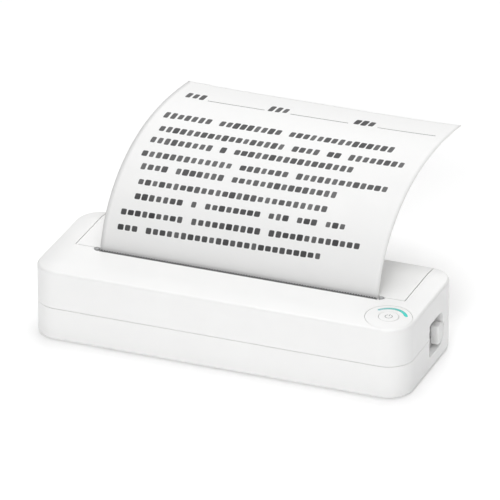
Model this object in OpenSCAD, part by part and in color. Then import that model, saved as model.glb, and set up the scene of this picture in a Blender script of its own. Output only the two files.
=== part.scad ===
// A4 portable thermal printer. A long rounded housing in two halves holds a paper bay, a
// fixed line print head, a geared stepper motor, a battery and the boards. The rear cover
// hinges up on two pins at the back and carries the rubber platen roller, so that paper can
// be laid in. A sliding latch in the right end frees the cover. A printed sheet stands in
// the slot and bends back over the cover.
// Origin: under the middle of the housing, on the surface it stands on. X runs along the
// housing towards the control panel, Y to the rear and Z up. All sizes are millimetres.

/* [Housing] */
// Length of the housing
body_l = 282; // [276:1:340]
// Depth of the housing from front to rear
body_d = 106; // [104:1:128]
// Height of the crowned top above the table
body_h = 55.6; // [55:0.2:62]
// Radius of the four upright corners
corner_r = 19; // [18:0.5:20]
// Height of the parting line between the two halves
seam_z = 25.5; // [24.5:0.5:27]
// Gap that shows along the parting line
seam_gap = 0.35; // [0.2:0.05:0.6]
// Wall of the mouldings
wall = 2.2; // [1.8:0.1:2.6]
// Radius of the rim round the top
rim_r = 2; // [1:0.25:2.5]
// Fall of the top from its flat middle to the rim
crown_fall = 1.7; // [1:0.1:2.4]
// Radius round the bottom edge
bottom_r = 2.5; // [1:0.25:3]
// Height of the rubber feet below the housing
foot_h = 0.8; // [0.5:0.1:1.4]
// Diameter of a rubber foot
foot_d = 11; // [8:0.5:14]

/* [Rear cover] */
// Width of the cover between the two ends
cover_w = 248; // [246:1:252]
// Gap round the cover
cover_gap = 0.6; // [0.3:0.05:0.8]
// Distance of the hinge axis from the rear face, which is also the radius of the hinge roll
hinge_r = 4; // [3.5:0.1:4.5]
// Diameter of a hinge pin
pin_d = 3; // [2:0.25:3.5]
// Depth of the skirt along the cover's sides
skirt_h = 5.5; // [4:0.5:6]

/* [Paper] */
// Width of the paper
paper_w = 210; // [174:1:211]
// Thickness of the sheet
paper_t = 0.25; // [0.15:0.05:0.3]
// Outer diameter of the roll in the bay
roll_d = 38; // [24:1:38]
// Outer diameter of the cardboard core
core_d = 17; // [16:0.5:20]
// Length of sheet that stands out of the slot
sheet_l = 194; // [100:1:280]
// Length over which the sheet bends back
bend_l = 84; // [60:1:110]
// Width of the slot that the sheet leaves by
slot_w = 213; // [212.6:0.2:214]
// Open gap between the tear bar and the cover
slot_gap = 2.3; // [1.6:0.1:2.6]

/* [Platen and gears] */
// Diameter of the rubber platen
platen_d = 12; // [10:0.5:12]
// Diameter of the platen's steel shaft
shaft_d = 4; // [3:0.25:4.5]
// Height of the platen's axis
platen_z = 44.5; // [43.5:0.5:45]
// Gap between the platen and the paper, and between the paper and the head
nip = 0.08; // [0.05:0.01:0.15]
// Module of all the gear teeth
gear_m = 0.6; // [0.5:0.05:0.6]
// Teeth of the platen gear
platen_teeth = 22; // [18:1:22]
// Teeth of the small wheel of the reduction gear
small_teeth = 14; // [12:1:16]
// Teeth of the large wheel of the reduction gear
large_teeth = 34; // [28:1:34]
// Teeth of the motor pinion
pinion_teeth = 12; // [10:1:14]
// Width of the gear faces
gear_w = 3; // [2:0.25:3]
// Play between meshing teeth, measured along the pitch circle
backlash = 0.16; // [0.1:0.02:0.24]
// Diameter of the stepper motor
motor_d = 20; // [15:0.5:20]
// Length of the stepper motor
motor_l = 15; // [10:0.5:18]

/* [Control panel] */
// Diameter of the round panel
panel_d = 33.6; // [31:0.2:34]
// Diameter of the power button
button_d = 14.6; // [12:0.2:16]
// Travel of the power button
button_travel = 0.6; // [0.4:0.1:0.6]
// Middle radius of the light arc
arc_r = 12.3; // [11:0.1:12.4]
// Width of the light arc
arc_w = 2.4; // [1.4:0.1:2.6]

/* [Latch] */
// Length of the recess in the right end
recess_l = 29; // [29:0.5:32]
// Height of the recess
recess_h = 26; // [24:0.5:27]
// Depth of the recess
recess_depth = 6; // [5:0.25:6.5]
// Radius of the recess's two rear corners
recess_r = 9; // [6:0.5:9.5]
// Radius of the recess's two front corners
recess_r2 = 3; // [2:0.5:5]
// Length of the sliding knob
knob_l = 9.5; // [8:0.5:10]
// Height of the sliding knob
knob_h = 14; // [10:0.5:15]
// Travel of the knob
latch_travel = 8; // [5:0.5:8.5]

/* [Battery and boards] */
// Diameter of a battery cell
cell_d = 18.4; // [14:0.2:18.4]
// Length of a battery cell
cell_l = 65; // [50:1:66]
// Thickness of the circuit boards
board_t = 1.6; // [1:0.1:1.6]
// Height of the main board's underside
board_z = 27; // [26.5:0.5:28]

/* [Hidden] */
$fn = 64;

white = "#f4f4f2";
dark = "#55585a";
steel = "#b9bcbf";
eps = 0.01;

// Housing form
lx = body_l / 2 - corner_r;
ly = body_d / 2 - corner_r;
crown_rad = corner_r * corner_r / (2 * crown_fall) + crown_fall / 2;
top_in = body_h - wall;                 // underside of the flat middle of the top
floor_z = foot_h + wall;                // upper face of the floor

// Rear cover and its hinge
hinge_y = body_d / 2 - hinge_r;
hinge_gap = 0.4;                        // gap under the hinge roll
hinge_z = seam_z + hinge_gap + hinge_r;
pin_clear = 0.05;
post_in = cover_w / 2 + 2.3;            // middle of the posts that carry the pins

// Platen, paper line and gear centres, all in the YZ plane
platen_y = -2;
sheet_y = platen_y - platen_d / 2 - nip - paper_t / 2;
cover_front = sheet_y + 0.8;
open_dir = [hinge_z - platen_z, platen_y - hinge_y] * -1 /
  norm([hinge_z - platen_z, platen_y - hinge_y]);
gear_gap = gear_m * (platen_teeth + small_teeth) / 2;
axle_c = [platen_y, platen_z] - gear_gap * open_dir;
motor_a = 250;
motor_gap = gear_m * (large_teeth + pinion_teeth) / 2;
motor_c = axle_c + motor_gap * [cos(motor_a), sin(motor_a)];
open_a = atan2(open_dir[1], open_dir[0]);

// Stations along X
half_paper = paper_w / 2;
sleeve_x = half_paper + 2;              // end of the platen rubber
bracket_x = sleeve_x + 2;               // inner face of a cover bracket
bracket_t = 2.5;
cheek_x = bracket_x + bracket_t + 0.5;  // inner face of a frame cheek
cheek_t = 1.2;
gear_x = cheek_x + cheek_t + 1.3;       // inner face of the platen gear
large_x = gear_x + gear_w + 1.2;        // inner face of the large wheel

// Paper roll
roll_gap = 0.6;
bay_r = 19;                             // the cradle takes a roll of this radius
roll_c = [hinge_y - 23.5, floor_z + 1.7 + roll_gap + bay_r];
roll_r = roll_d / 2;
hub_x = half_paper + 0.3;
liner_y = [-9, 5];                      // rows of the liner's screws, from the roll's axis
journal_d = 6;

// Paper path: it leaves the roll at its lower front, wraps the platen and goes up
wrap_r = platen_d / 2 + nip + paper_t / 2;
leave_r = roll_r + 0.15 + paper_t / 2;
path_d = norm([platen_y, platen_z] - roll_c);
path_a = atan2(platen_z - roll_c[1], platen_y - roll_c[0]);
tangent_a = path_a + acos((leave_r - wrap_r) / path_d);

guide_u = [-cos(tangent_a + 90), -sin(tangent_a + 90)];   // way of the paper from the roll
guide_foot = roll_c + (leave_r + 1.32) * [cos(tangent_a), sin(tangent_a)] + guide_u * 3.4;
guide_back = guide_foot[0] - 0.9 * cos(tangent_a);
bay_front = max(roll_c[0] - 16.8, guide_back + 0.8);

// Tear bar and the cut-out in the top that it lies in
slot_front = sheet_y - 4.7;             // front edge of the cut-out
end_x = slot_w / 2 - 1.8;               // axes of the cut-out's round ends
end_r = cover_front - slot_front;
end_deep = 1.1;
post_x = slot_w / 2 + 0.9;              // round end posts of the tear bar
post_y = sheet_y - 0.5;
post_r = 1.9;

// Print head
head_front = sheet_y - paper_t / 2 - nip;
strip_t = 1;
sink_t = 3.4;
pivot_c = [head_front - strip_t - sink_t / 2, platen_z - 10];
pivot_d = 2;
frame_y = -24.2;
frame_t = 1.2;

// Control panel, centred on the axis of the right front corner
panel_c = [lx, -ly];
ledge_z = top_in - 0.2;
board2_z = 42;
peg_pts = [[lx - 18.5, -ly], [lx, -ly + 18.5]];
arc_from = 28;                          // ends of the light arc, as angles from +X
arc_to = 143;

// Latch recess, knob and slide
recess_y = 11.85;
recess_z = 24.1;
recess_x = body_l / 2 - recess_depth;
pocket_t = 1.6;
slide_x = recess_x - pocket_t - 0.2;    // outer face of the slide
slide_t = 2.6;
knob_y = recess_y + recess_l / 2 - 0.5 - knob_l;
knob_z = 20;
knob_r = recess_r - 2;                  // the knob's lower rear corner follows the recess
hook_y = 24;

// Screws that join the halves: [x, y]
boss_pts = [
  [-80, -body_d / 2 + 5.7], [0, -body_d / 2 + 5.7], [94, -body_d / 2 + 5.7],
  [-lx - 9, ly + 6], [lx + 9, ly + 6], [-lx - 9, -ly - 5]
];
seat_z = 18;
screw_d = 2.3;
screw_reach = 14;

// Feet, board posts and frame posts: [x, y]
foot_pts = [for (x = [-1, 1], y = [-1, 1]) [x * (lx - 4), y * (ly + 2)]];
board_y = -body_d / 2 + 9;
board_w = 18.6;
board_x0 = -body_l / 2 + 10;
board_l = 191;
post_pts = [for (p = [[10, 3.5], [27, 16.9], [93, 16.9], [185, 16.9]])
  [board_x0 + p[0], board_y + p[1]]];
frame_pts = [[-90, -18.5], [-30, -18.5], [30, -18.5], [90, -18.5]];
frame_z = 6;
cell_c = [board_y + 5.5, floor_z + 0.8 + cell_d / 2];
usb_c = [board_y + 13.6, board_z + board_t + 1.7];

// ---------- shared forms ----------

// Half section of the housing from a corner's axis outwards: floor, bottom edge, wall,
// rim and the crown's arc, all offset inwards by g.
module section(g = 0) {
  r = corner_r - g;
  zt = body_h - g;
  rc = crown_rad - g;
  e = max(rim_r - g, 0.4);
  b = max(bottom_r - g, 0.4);
  zb = foot_h + g;
  zf = zt - rc + sqrt(pow(rc - e, 2) - pow(r - e, 2));
  xt = (r - e) * rc / (rc - e);
  translate([0, zb + b]) square([r, zf - zb - b]);
  translate([0, zb]) square([r - b, zf - zb]);
  translate([r - b, zb + b]) circle(b);
  translate([r - e, zf]) circle(e);
  intersection() {
    translate([0, zt - rc]) circle(rc, $fn = 360);
    translate([0, zf - 1]) square([xt, zt - zf + 2]);
  }
}

// The closed outer form of the whole housing, offset inwards by g.
module form(g = 0) {
  for (k = [0:3]) {
    a = k % 2 == 0 ? lx : ly;
    b = k % 2 == 0 ? ly : lx;
    rotate(k * 90) {
      translate([a, b, 0]) rotate_extrude(angle = 90) section(g);
      translate([-a, b, 0]) rotate([90, 0, 90]) linear_extrude(2 * a) section(g);
    }
  }
  translate([-lx, -ly, foot_h + g]) cube([2 * lx, 2 * ly, body_h - foot_h - 2 * g]);
}

// The crowned top around the control panel, offset inwards by g and centred on the panel.
module crown_patch(g) {
  w = corner_r - 0.6;
  translate([0, w, 0]) rotate([90, 0, 0]) linear_extrude(w) crown_2d(g);
  rotate([90, 0, -90]) linear_extrude(w) crown_2d(g);
  rotate(-90) rotate_extrude(angle = 90) crown_2d(g);
  translate([-w, 0, ledge_z - 14]) cube([w, w, body_h - g - ledge_z + 14]);
}

module crown_2d(g) {
  intersection() {
    translate([0, body_h - crown_rad]) circle(crown_rad - g, $fn = 360);
    translate([0, ledge_z - 14]) square([corner_r - 0.6, 40]);
  }
}

// A block between two corners given as [x, y, z].
module span(p, q) {
  translate(p) cube(q - p);
}

// Extrudes a figure drawn in (y, z) along X from x0 to x1.
module along_x(x0, x1) {
  translate([x0, 0, 0]) rotate([90, 0, 90]) linear_extrude(x1 - x0) children();
}

// A round bar along X about the point c = [y, z].
module bar_x(c, r, x0, x1) {
  translate([x0, c[0], c[1]]) rotate([0, 90, 0]) cylinder(r = r, h = x1 - x0);
}

// ---------- gear teeth ----------

function inv_deg(a) = tan(a) * 180 / PI - a;
function tooth_half(rho, r, rb, z) =
  90 / z - backlash / (2 * r) * 90 / PI + inv_deg(20) - inv_deg(acos(min(1, rb / rho)));
function polar(r, a) = [r * cos(a), r * sin(a)];
// Outline of an involute gear of z teeth, with a tooth centred on angle a0.
function gear_pts(z, a0) =
  let (r = gear_m * z / 2, rb = r * cos(20), ra = r + gear_m, rf = r - 1.2 * gear_m,
       r0 = max(rb, rf + 0.05), n = 4)
  [for (k = [0:z - 1])
    let (c = a0 + k * 360 / z)
    each concat(
      [polar(rf, c - tooth_half(r0, r, rb, z) - 60 / z * 0.25)],
      [for (i = [0:n]) let (q = r0 + (ra - r0) * i / n) polar(q, c - tooth_half(q, r, rb, z))],
      [for (i = [n:-1:0]) let (q = r0 + (ra - r0) * i / n) polar(q, c + tooth_half(q, r, rb, z))],
      [polar(rf, c + tooth_half(r0, r, rb, z) + 60 / z * 0.25)])];

// ---------- housing ----------

module bosses_low() {
  for (p = boss_pts) translate([p[0], p[1], floor_z - 0.5])
    cylinder(r = 4, h = seam_z - floor_z + 0.5);
}

module pocket_block(g) {
  translate([recess_x - pocket_t, recess_y, recess_z]) rotate([90, 0, 90])
    linear_extrude(recess_depth + pocket_t - 1) recess_2d(g);
}

// Outline of the latch recess, grown by g: small front corners and large rear ones.
module recess_2d(g = 0) {
  w = recess_l / 2 + g;
  h = recess_h / 2 + g;
  a = recess_r2 + g;
  b = recess_r + g;
  translate([-w + a, -h]) square([2 * w - a - b, 2 * h]);
  translate([-w, -h + a]) square([a + 1, 2 * h - 2 * a]);
  translate([w - b - 1, -h + b]) square([b + 1, 2 * h - 2 * b]);
  for (y = [-1, 1]) {
    translate([-w + a, y * (h - a)]) circle(a);
    translate([w - b, y * (h - b)]) circle(b);
  }
}

// A rounded rectangle about the origin.
module rounded_2d(w, h, r) {
  square([w - 2 * r, h], center = true);
  square([w, h - 2 * r], center = true);
  for (x = [-1, 1], y = [-1, 1]) translate([x * (w / 2 - r), y * (h / 2 - r)]) circle(r);
}

module pocket_cut() {
  translate([recess_x, recess_y, recess_z]) rotate([90, 0, 90])
    linear_extrude(recess_depth + 5) recess_2d();
  // slot for the knob's stem
  span([recess_x - pocket_t - 5, knob_y + 0.8 - latch_travel, knob_z - 2.4],
    [recess_x + 1, knob_y + knob_l - 1.6, knob_z + 2.4]);
}

module bay_wall(x0) {
  difference() {
    span([x0, bay_front, floor_z - 0.4], [x0 + 2, roll_c[0] + 17, seam_z - 1]);
    bar_x(roll_c, journal_d / 2 + 0.06, x0 - 1, x0 + 3);
    span([x0 - 1, roll_c[0] - journal_d / 2 - 0.06, roll_c[1]],
      [x0 + 3, roll_c[0] + journal_d / 2 + 0.06, seam_z + 4]);
  }
}

module base_shell() {
  color(white)
  difference() {
    union() {
      intersection() {
        difference() { form(0); form(wall); }
        span([-body_l, -body_d, -1], [body_l, body_d, seam_z]);
      }
      // inner lip that closes the parting line, open where the cover comes down
      intersection() {
        difference() { form(wall - 0.9); form(wall); }
        span([-body_l, -body_d, seam_z - 0.2], [body_l, body_d, seam_z + 1.6]);
        union() {
          span([-body_l, -body_d, 0], [body_l, body_d / 2 - 12, 80]);
          for (s = [-1, 1]) span([s > 0 ? cover_w / 2 + 1 : -body_l, 0, 0],
            [s > 0 ? body_l : -cover_w / 2 - 1, body_d, 80]);
        }
        difference() {
          span([-body_l, -body_d, 0], [body_l, body_d, 80]);
          pocket_block(pocket_t + 0.3);
        }
      }
      bosses_low();
      // bay: end walls that carry the roll's journals, and curved cradle ribs
      for (x = [hub_x + 2, -hub_x - 4]) bay_wall(x);
      for (x = [-80, -40, 0, 40, 80]) difference() {
        span([x - 0.8, roll_c[0] - 17, floor_z - 0.4], [x + 0.8, roll_c[0] + 17, floor_z + 8]);
        bar_x(roll_c, bay_r + roll_gap, x - 2, x + 2);
      }
      // battery saddles
      for (x = [-70, -52, -22, -6.5, 4.5, 22, 52, 68]) difference() {
        span([x, cell_c[0] - 10.5, floor_z - 0.4], [x + 2, cell_c[0] + 9.5, floor_z + 7]);
        bar_x(cell_c, cell_d / 2 + 0.15, x - 1, x + 3);
      }
      // posts for the main board and for the mechanism frame
      for (p = post_pts) translate([p[0], p[1], floor_z - 0.4])
        cylinder(r = 2, h = board_z - floor_z + 0.4);
      for (p = frame_pts) translate([p[0], p[1], floor_z - 0.4])
        cylinder(r = 3, h = frame_z - floor_z + 0.4);
      // posts that carry the hinge pins
      for (s = [-1, 1]) {
        intersection() {
          union() {
            bar_x([hinge_y, hinge_z], hinge_r - 0.2, s * post_in - 1.25, s * post_in + 1.25);
            span([s * post_in - 1.25, hinge_y - 3.8, floor_z + 1],
              [s * post_in + 1.25, hinge_y + 3.2, hinge_z]);
          }
          form(wall + 0.2);
        }
        intersection() {
          span([s * post_in - 1.25, hinge_y - 3.8, floor_z - 0.4],
            [s * post_in + 1.25, hinge_y + 3.2, seam_z - 0.2]);
          form(wall - 0.4);
        }
      }
      // lower half of the latch recess
      intersection() {
        pocket_block(pocket_t);
        form(0.5);
        span([0, -body_d, 0], [body_l, body_d, seam_z]);
      }
      // rib along the floor that the paper guide stands on
      span([-hub_x + 8, guide_foot[0] - 1.2, floor_z - 0.4], [hub_x - 2, guide_foot[0], guide_foot[1] - 1.6]);
    }
    intersection() {
      pocket_cut();
      span([0, -body_d, 0], [body_l, body_d, 80]);
    }
    for (p = boss_pts) translate([p[0], p[1], -1]) {
      cylinder(r = 2.9, h = seat_z + 1);
      cylinder(r = screw_d / 2 + 0.2, h = 60);
    }
    for (p = foot_pts) translate([p[0], p[1], -1]) cylinder(r = foot_d / 2 + 0.1, h = foot_h + 2);
    for (p = post_pts) translate([p[0], p[1], floor_z + 6]) cylinder(r = 0.95, h = 40);
    for (p = frame_pts) translate([p[0], p[1], floor_z - 1.2]) cylinder(r = 1.2, h = 40);
    for (s = [-1, 1]) bar_x([hinge_y, hinge_z], pin_d / 2, s * cover_w / 2 - 5, s * cover_w / 2 + 5.2);
  }
}

module top_shell() {
  usb_x = -body_l / 2;
  color(white)
  difference() {
    union() {
      intersection() {
        difference() { form(0); form(wall); }
        span([-body_l, -body_d, seam_z + seam_gap], [body_l, body_d, 90]);
      }
      // bosses that take the case screws
      for (p = boss_pts) intersection() {
        translate([p[0], p[1], seam_z + 0.1]) cylinder(r = 3, h = 40);
        form(0.8);
      }
      // skirts beside the cover and, outside the slot, along its front edge
      for (s = [-1, 1]) intersection() {
        union() {
          span([s * (cover_w / 2 + cover_gap + 1) - 1, cover_front - cover_gap - 2, top_in - skirt_h],
            [s * (cover_w / 2 + cover_gap + 1) + 1, body_d / 2, 90]);
          span([min(s * (slot_w / 2 + 4), s * cover_w / 2 + s * 2),
              cover_front - cover_gap - 2, top_in - 3],
            [max(s * (slot_w / 2 + 4), s * cover_w / 2 + s * 2), cover_front - cover_gap, 90]);
        }
        form(0.8);
      }
      // ledge under the control panel, and the pegs that hold its board
      intersection() {
        translate([panel_c[0], panel_c[1], ledge_z - 1.8])
          cylinder(r = panel_d / 2 + 1.6, h = 10);
        form(0.8);
      }
      for (p = peg_pts) translate([p[0], p[1], board2_z + board_t])
        cylinder(r = 2, h = top_in - board2_z - board_t + 0.5);
      // upper half of the latch recess
      intersection() {
        pocket_block(pocket_t);
        form(0.5);
        span([0, -body_d, seam_z + seam_gap], [body_l, body_d, 90]);
      }
    }
    // the bay's opening, closed by the cover
    span([-cover_w / 2 - cover_gap, cover_front - cover_gap, 0],
      [cover_w / 2 + cover_gap, body_d, 90]);
    // seat of the tear bar, the sheet's way out behind it, and the shallow round ends
    span([-end_x, slot_front, top_in - 0.2], [end_x, sheet_y - 1, 90]);
    span([-slot_w / 2, sheet_y - 1.3, top_in - 0.2], [slot_w / 2, cover_front, 90]);
    for (s = [-1, 1]) {
      translate([s * end_x, cover_front, body_h - end_deep]) cylinder(r = end_r, h = 20);
      translate([s * post_x, post_y, top_in - 8]) cylinder(r = post_r + 0.2, h = 40);
    }
    // control panel well, the button's way down and the light
    translate([panel_c[0], panel_c[1], ledge_z]) cylinder(r = panel_d / 2, h = 20);
    translate([panel_c[0], panel_c[1], ledge_z - 10]) cylinder(r = panel_d / 2 - 2, h = 20);
    pocket_cut();
    // inner rebate that the lower half's lip enters
    intersection() {
      difference() { form(wall - 1.05); form(wall + 0.02); }
      span([-body_l, -body_d, 0], [body_l, body_d, seam_z + 1.9]);
      difference() {
        span([-body_l, -body_d, 0], [body_l, body_d, 90]);
        pocket_block(pocket_t + 0.3);
      }
    }
    for (p = boss_pts) translate([p[0], p[1], seam_z - 1]) cylinder(r = screw_d / 2 + 0.03, h = 14);
    for (p = peg_pts) translate([p[0], p[1], board2_z]) cylinder(r = 0.9, h = 7);
    // relief inside the rear corners for the ends of the hinge pins
    for (s = [-1, 1]) bar_x([hinge_y, hinge_z], pin_d / 2 + 0.2,
      s * (cover_w / 2 + 2.2) - 2, s * (cover_w / 2 + 2.2) + 2);
    // mouth of the charging socket
    translate([usb_x - 1, usb_c[0], usb_c[1]]) rotate([90, 0, 90])
      linear_extrude(wall + 3) rounded_2d(9.7, 3.9, 1.9);
  }
}

module rubber_feet() {
  color("#3c3e40") for (p = foot_pts) translate([p[0], p[1], 0]) {
    cylinder(r = foot_d / 2 - 0.4, h = 1);
    translate([0, 0, 0.4]) cylinder(r = foot_d / 2, h = foot_h + 0.6);
  }
}

module case_screws() {
  color(steel) for (p = boss_pts) translate([p[0], p[1], 0]) difference() {
    union() {
      translate([0, 0, seat_z - 1.7]) cylinder(r = 2.3, h = 1.7);
      translate([0, 0, seat_z]) cylinder(r = screw_d / 2, h = screw_reach);
    }
    for (a = [0, 90]) rotate(a) translate([-1.5, -0.35, seat_z - 2]) cube([3, 0.7, 1.1]);
  }
}

module rear_cover() {
  color(white)
  difference() {
    union() {
      intersection() {
        difference() { form(0); form(wall); }
        span([-cover_w / 2, cover_front, hinge_z], [cover_w / 2, body_d, 90]);
      }
      // side skirts and the lip along the front edge
      intersection() {
        union() {
          for (s = [-1, 1]) span([s * (cover_w / 2 - 1) - 1, cover_front, top_in - skirt_h + 0.8],
            [s * (cover_w / 2 - 1) + 1, body_d / 2, 90]);
          span([-cover_w / 2, cover_front + 1.2, top_in - 1], [cover_w / 2, cover_front + 3.4, 90]);
        }
        form(0.8);
      }
      // hinge roll along the lower rear edge, open inside between its two ends
      difference() {
        bar_x([hinge_y, hinge_z], hinge_r, -cover_w / 2, cover_w / 2);
        bar_x([hinge_y, hinge_z], hinge_r - 1.9, -cover_w / 2 + 14, cover_w / 2 - 14);
        span([-cover_w / 2 + 14, hinge_y - 9, hinge_z - 0.5], [cover_w / 2 - 14, hinge_y + 2, hinge_z + 9]);
      }
      // stiffening ribs under the top and down the rear wall
      for (x = [-96, -64, -32, 0, 32, 64, 96]) intersection() {
        along_x(x - 0.7, x + 0.7) difference() {
          translate([platen_y + 10.4, hinge_z + 3]) square([body_d / 2 - platen_y - 10.4, 40]);
          translate([roll_c[0], roll_c[1]]) circle(roll_r + 4.3);
        }
        form(wall - 0.5);
      }
    }
    // the slot: the front edge stands back where the sheet passes
    span([-slot_w / 2, cover_front - 1, top_in - 9],
      [slot_w / 2, sheet_y - 0.6 + slot_gap, 90]);
    for (s = [-1, 1]) translate([s * post_x, post_y, top_in - 8])
      cylinder(r = post_r + 0.2, h = 40);
    for (s = [-1, 1]) bar_x([hinge_y, hinge_z], pin_d / 2 + pin_clear,
      s * (cover_w / 2 - 5) - 5.5, s * (cover_w / 2 - 5) + 5.5);
  }
}

module hinge_pins() {
  color(steel) for (s = [-1, 1])
    bar_x([hinge_y, hinge_z], pin_d / 2, s * (cover_w / 2 - 3.25) - 6.75, s * (cover_w / 2 - 3.25) + 6.75);
}

module cover_liner() {
  r0 = roll_r + 2.4;
  color("#d9dbdc")
  difference() {
    union() {
      // curved roof over the roll
      along_x(-sleeve_x, sleeve_x) intersection() {
        difference() {
          translate(roll_c) circle(r0 + 1.6);
          translate(roll_c) circle(r0);
        }
        translate([platen_y + 8.4, roll_c[1] + 8]) square([34, 40]);
      }
      // guide lip that runs forward behind the platen
      along_x(-sleeve_x, sleeve_x) translate([platen_y + 8.4, roll_c[1] + 9.5])
        square([1.6, top_in - 2.2 - roll_c[1] - 9.5]);
      // screw bosses up to the cover
      for (x = [-80, -16, 48, 80], y = liner_y) translate([x, roll_c[0] + y, roll_c[1] + r0])
        cylinder(r = 2.6, h = top_in - roll_c[1] - r0);
    }
    along_x(-sleeve_x - 1, sleeve_x + 1) translate(roll_c) circle(r0);
    for (x = [-80, -16, 48, 80], y = liner_y) translate([x, roll_c[0] + y, 0])
      cylinder(r = 0.9, h = 80);
  }
}

module liner_screws() {
  color(steel) for (x = [-80, -16, 48, 80], y = liner_y)
    translate([x, roll_c[0] + y, roll_c[1] + roll_r + 3]) {
      cylinder(r = 0.85, h = top_in - roll_c[1] - roll_r - 3.2);
    }
}

module cover_catch() {
  x0 = cover_w / 2 - 8;
  color("#d9dbdc") {
    span([x0, hook_y + 4, 39], [x0 + 3, hook_y + 7, top_in]);
    span([x0, hook_y + 0.3, 39], [x0 + 3, hook_y + 4.5, 42]);
    span([x0 - 3, hook_y - 2, top_in - 1.4], [x0 + 4.5, hook_y + 9, top_in]);
  }
}

module tear_bar() {
  pitch = 2;
  n = floor((2 * end_x - 1) / pitch);
  y1 = sheet_y - 2.1;
  color(dark) {
    // upright blade with saw teeth along its top edge, next to the sheet
    translate([0, y1, 0]) rotate([90, 0, 0]) linear_extrude(0.7)
      polygon(concat([[-n * pitch / 2, top_in - 1.2]],
        [for (i = [0:n - 1], j = [0, 1])
          [(-n / 2 + i + j * 0.5) * pitch, body_h - 0.35 + j * 0.75]],
        [[n * pitch / 2, body_h - 0.35], [n * pitch / 2, top_in - 1.2]]));
    // bar in front of the blade, with a rounded front edge
    along_x(-end_x + 0.2, end_x - 0.2) {
      translate([slot_front + 0.15, top_in - 1.2])
        square([y1 - 0.1 - slot_front - 0.15, body_h - 0.9 - top_in + 1.2]);
      translate([slot_front + 0.75, top_in - 1.2])
        square([y1 - 0.1 - slot_front - 0.75, body_h - 0.3 - top_in + 1.2]);
      translate([slot_front + 0.75, body_h - 0.9]) circle(0.6);
    }
    // fixing flange under the housing's top
    span([-end_x - 3, sheet_y - 7.6, top_in - 1.2], [end_x + 3, y1 - 0.1, top_in - 0.2]);
    // round end posts, domed, that stand out of the notches at the slot's ends
    for (s = [-1, 1]) {
      translate([s * post_x, post_y, 0]) {
        translate([0, 0, top_in - 1.2]) cylinder(r = post_r, h = wall + 1.3);
        translate([0, 0, body_h + 0.1]) intersection() {
          translate([0, 0, 0.65 - post_r * 1.6]) sphere(post_r * 1.6);
          cylinder(r = post_r, h = 2);
        }
      }
      span([s > 0 ? half_paper + 1 : -end_x - 3.4, y1 - 0.3, top_in - 1.2],
        [s > 0 ? end_x + 3.4 : -half_paper - 1, post_y, top_in - 0.2]);
    }
  }
}

// ---------- control panel ----------

// Outline of the light arc, grown by grow: an arc with round ends, wider at its right end.
module arc_2d(grow = 0) {
  w = arc_w / 2 + grow;
  difference() {
    circle(arc_r + w - 0.1);
    translate([-0.2, -0.1]) circle(arc_r - w - 0.05);
    polygon([[0, 0], polar(40, arc_to), polar(40, 180), polar(40, 225), polar(40, 270),
      polar(40, 315), polar(40, arc_from)]);
  }
  translate(polar(arc_r, arc_from)) circle(w - 0.04);
  translate(polar(arc_r - 0.13, arc_to)) circle(w - 0.1);
}

module control_panel() {
  color("#eeeeec") translate([panel_c[0], panel_c[1], 0]) difference() {
    intersection() {
      translate([0, 0, ledge_z]) cylinder(r = panel_d / 2 - 0.35, h = 10);
      crown_patch(0.12);
    }
    translate([0, 0, ledge_z - 1]) cylinder(r = button_d / 2, h = 20);
    translate([0, 0, ledge_z - 1]) linear_extrude(20) arc_2d(0.06);
  }
}

module light_arc() {
  color("#46cdc3") translate([panel_c[0], panel_c[1], 0]) intersection() {
    translate([0, 0, board2_z + board_t + 0.9]) linear_extrude(20) arc_2d(0);
    translate([-panel_c[0], -panel_c[1], 0]) form(0.1);
  }
}

module power_button() {
  color(white) translate([panel_c[0], panel_c[1], 0]) {
    intersection() {
      translate([0, 0, ledge_z - 1.2]) cylinder(r = button_d / 2 - 0.3, h = 10);
      crown_patch(0.1);
    }
    translate([0, 0, ledge_z - 1.2]) cylinder(r = button_d / 2 + 0.9, h = 1);
    translate([0, 0, board2_z + board_t + 4.5 + button_travel])
      cylinder(r = 2.4, h = ledge_z - 1 - (board2_z + board_t + 4.5 + button_travel));
  }
}

module button_board() {
  color("#2f6b4a") difference() {
    translate([0, 0, board2_z]) linear_extrude(board_t) {
      translate(panel_c) circle(15.4);
      translate([peg_pts[0][0] - 3, -ly - 5]) square([16, 10]);
      translate([lx - 5, -ly + 6]) square([10, 15.6]);
    }
    for (p = peg_pts) translate([p[0], p[1], board2_z - 1]) cylinder(r = 1.1, h = 4);
  }
}

module tact_switch() {
  color("#2b2d2f") translate([panel_c[0], panel_c[1], board2_z + board_t]) {
    translate([-3, -3, 0]) cube([6, 6, 3.4]);
    cylinder(r = 1.7, h = 4.3);
  }
}

// ---------- boards and battery ----------

module main_board() {
  color("#2f6b4a") difference() {
    span([board_x0, board_y, board_z], [board_x0 + board_l, board_y + board_w, board_z + board_t]);
    for (p = post_pts) translate([p[0], p[1], board_z - 1]) cylinder(r = 1.2, h = 4);
    for (p = boss_pts) translate([p[0], p[1], board_z - 1]) cylinder(r = 3.4, h = 4);
  }
}

module on_board(x, y, w, d, h) {
  translate([board_x0 + x, board_y + y, board_z + board_t]) cube([w, d, h]);
}

module processor_chip() { color("#26282a") on_board(71, 2, 10, 10, 1.2); }

module board_chips() {
  color("#2c2e30") {
    for (p = [[89, 3, 5, 6], [101, 7, 6, 5], [55, 4, 5, 4], [119, 5, 8, 5], [145, 4, 6, 6]])
      on_board(p[0], p[1], p[2], p[3], 1.5);
    for (i = [0:5]) on_board(159 + i * 3.6, 6, 2, 1.2, 0.8);
  }
}

module board_capacitors() {
  color("#3a4a66") for (x = [39, 47, 133]) translate([board_x0 + x, board_y + 7, board_z + board_t])
    cylinder(r = 3.2, h = 7.7);
}

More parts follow.
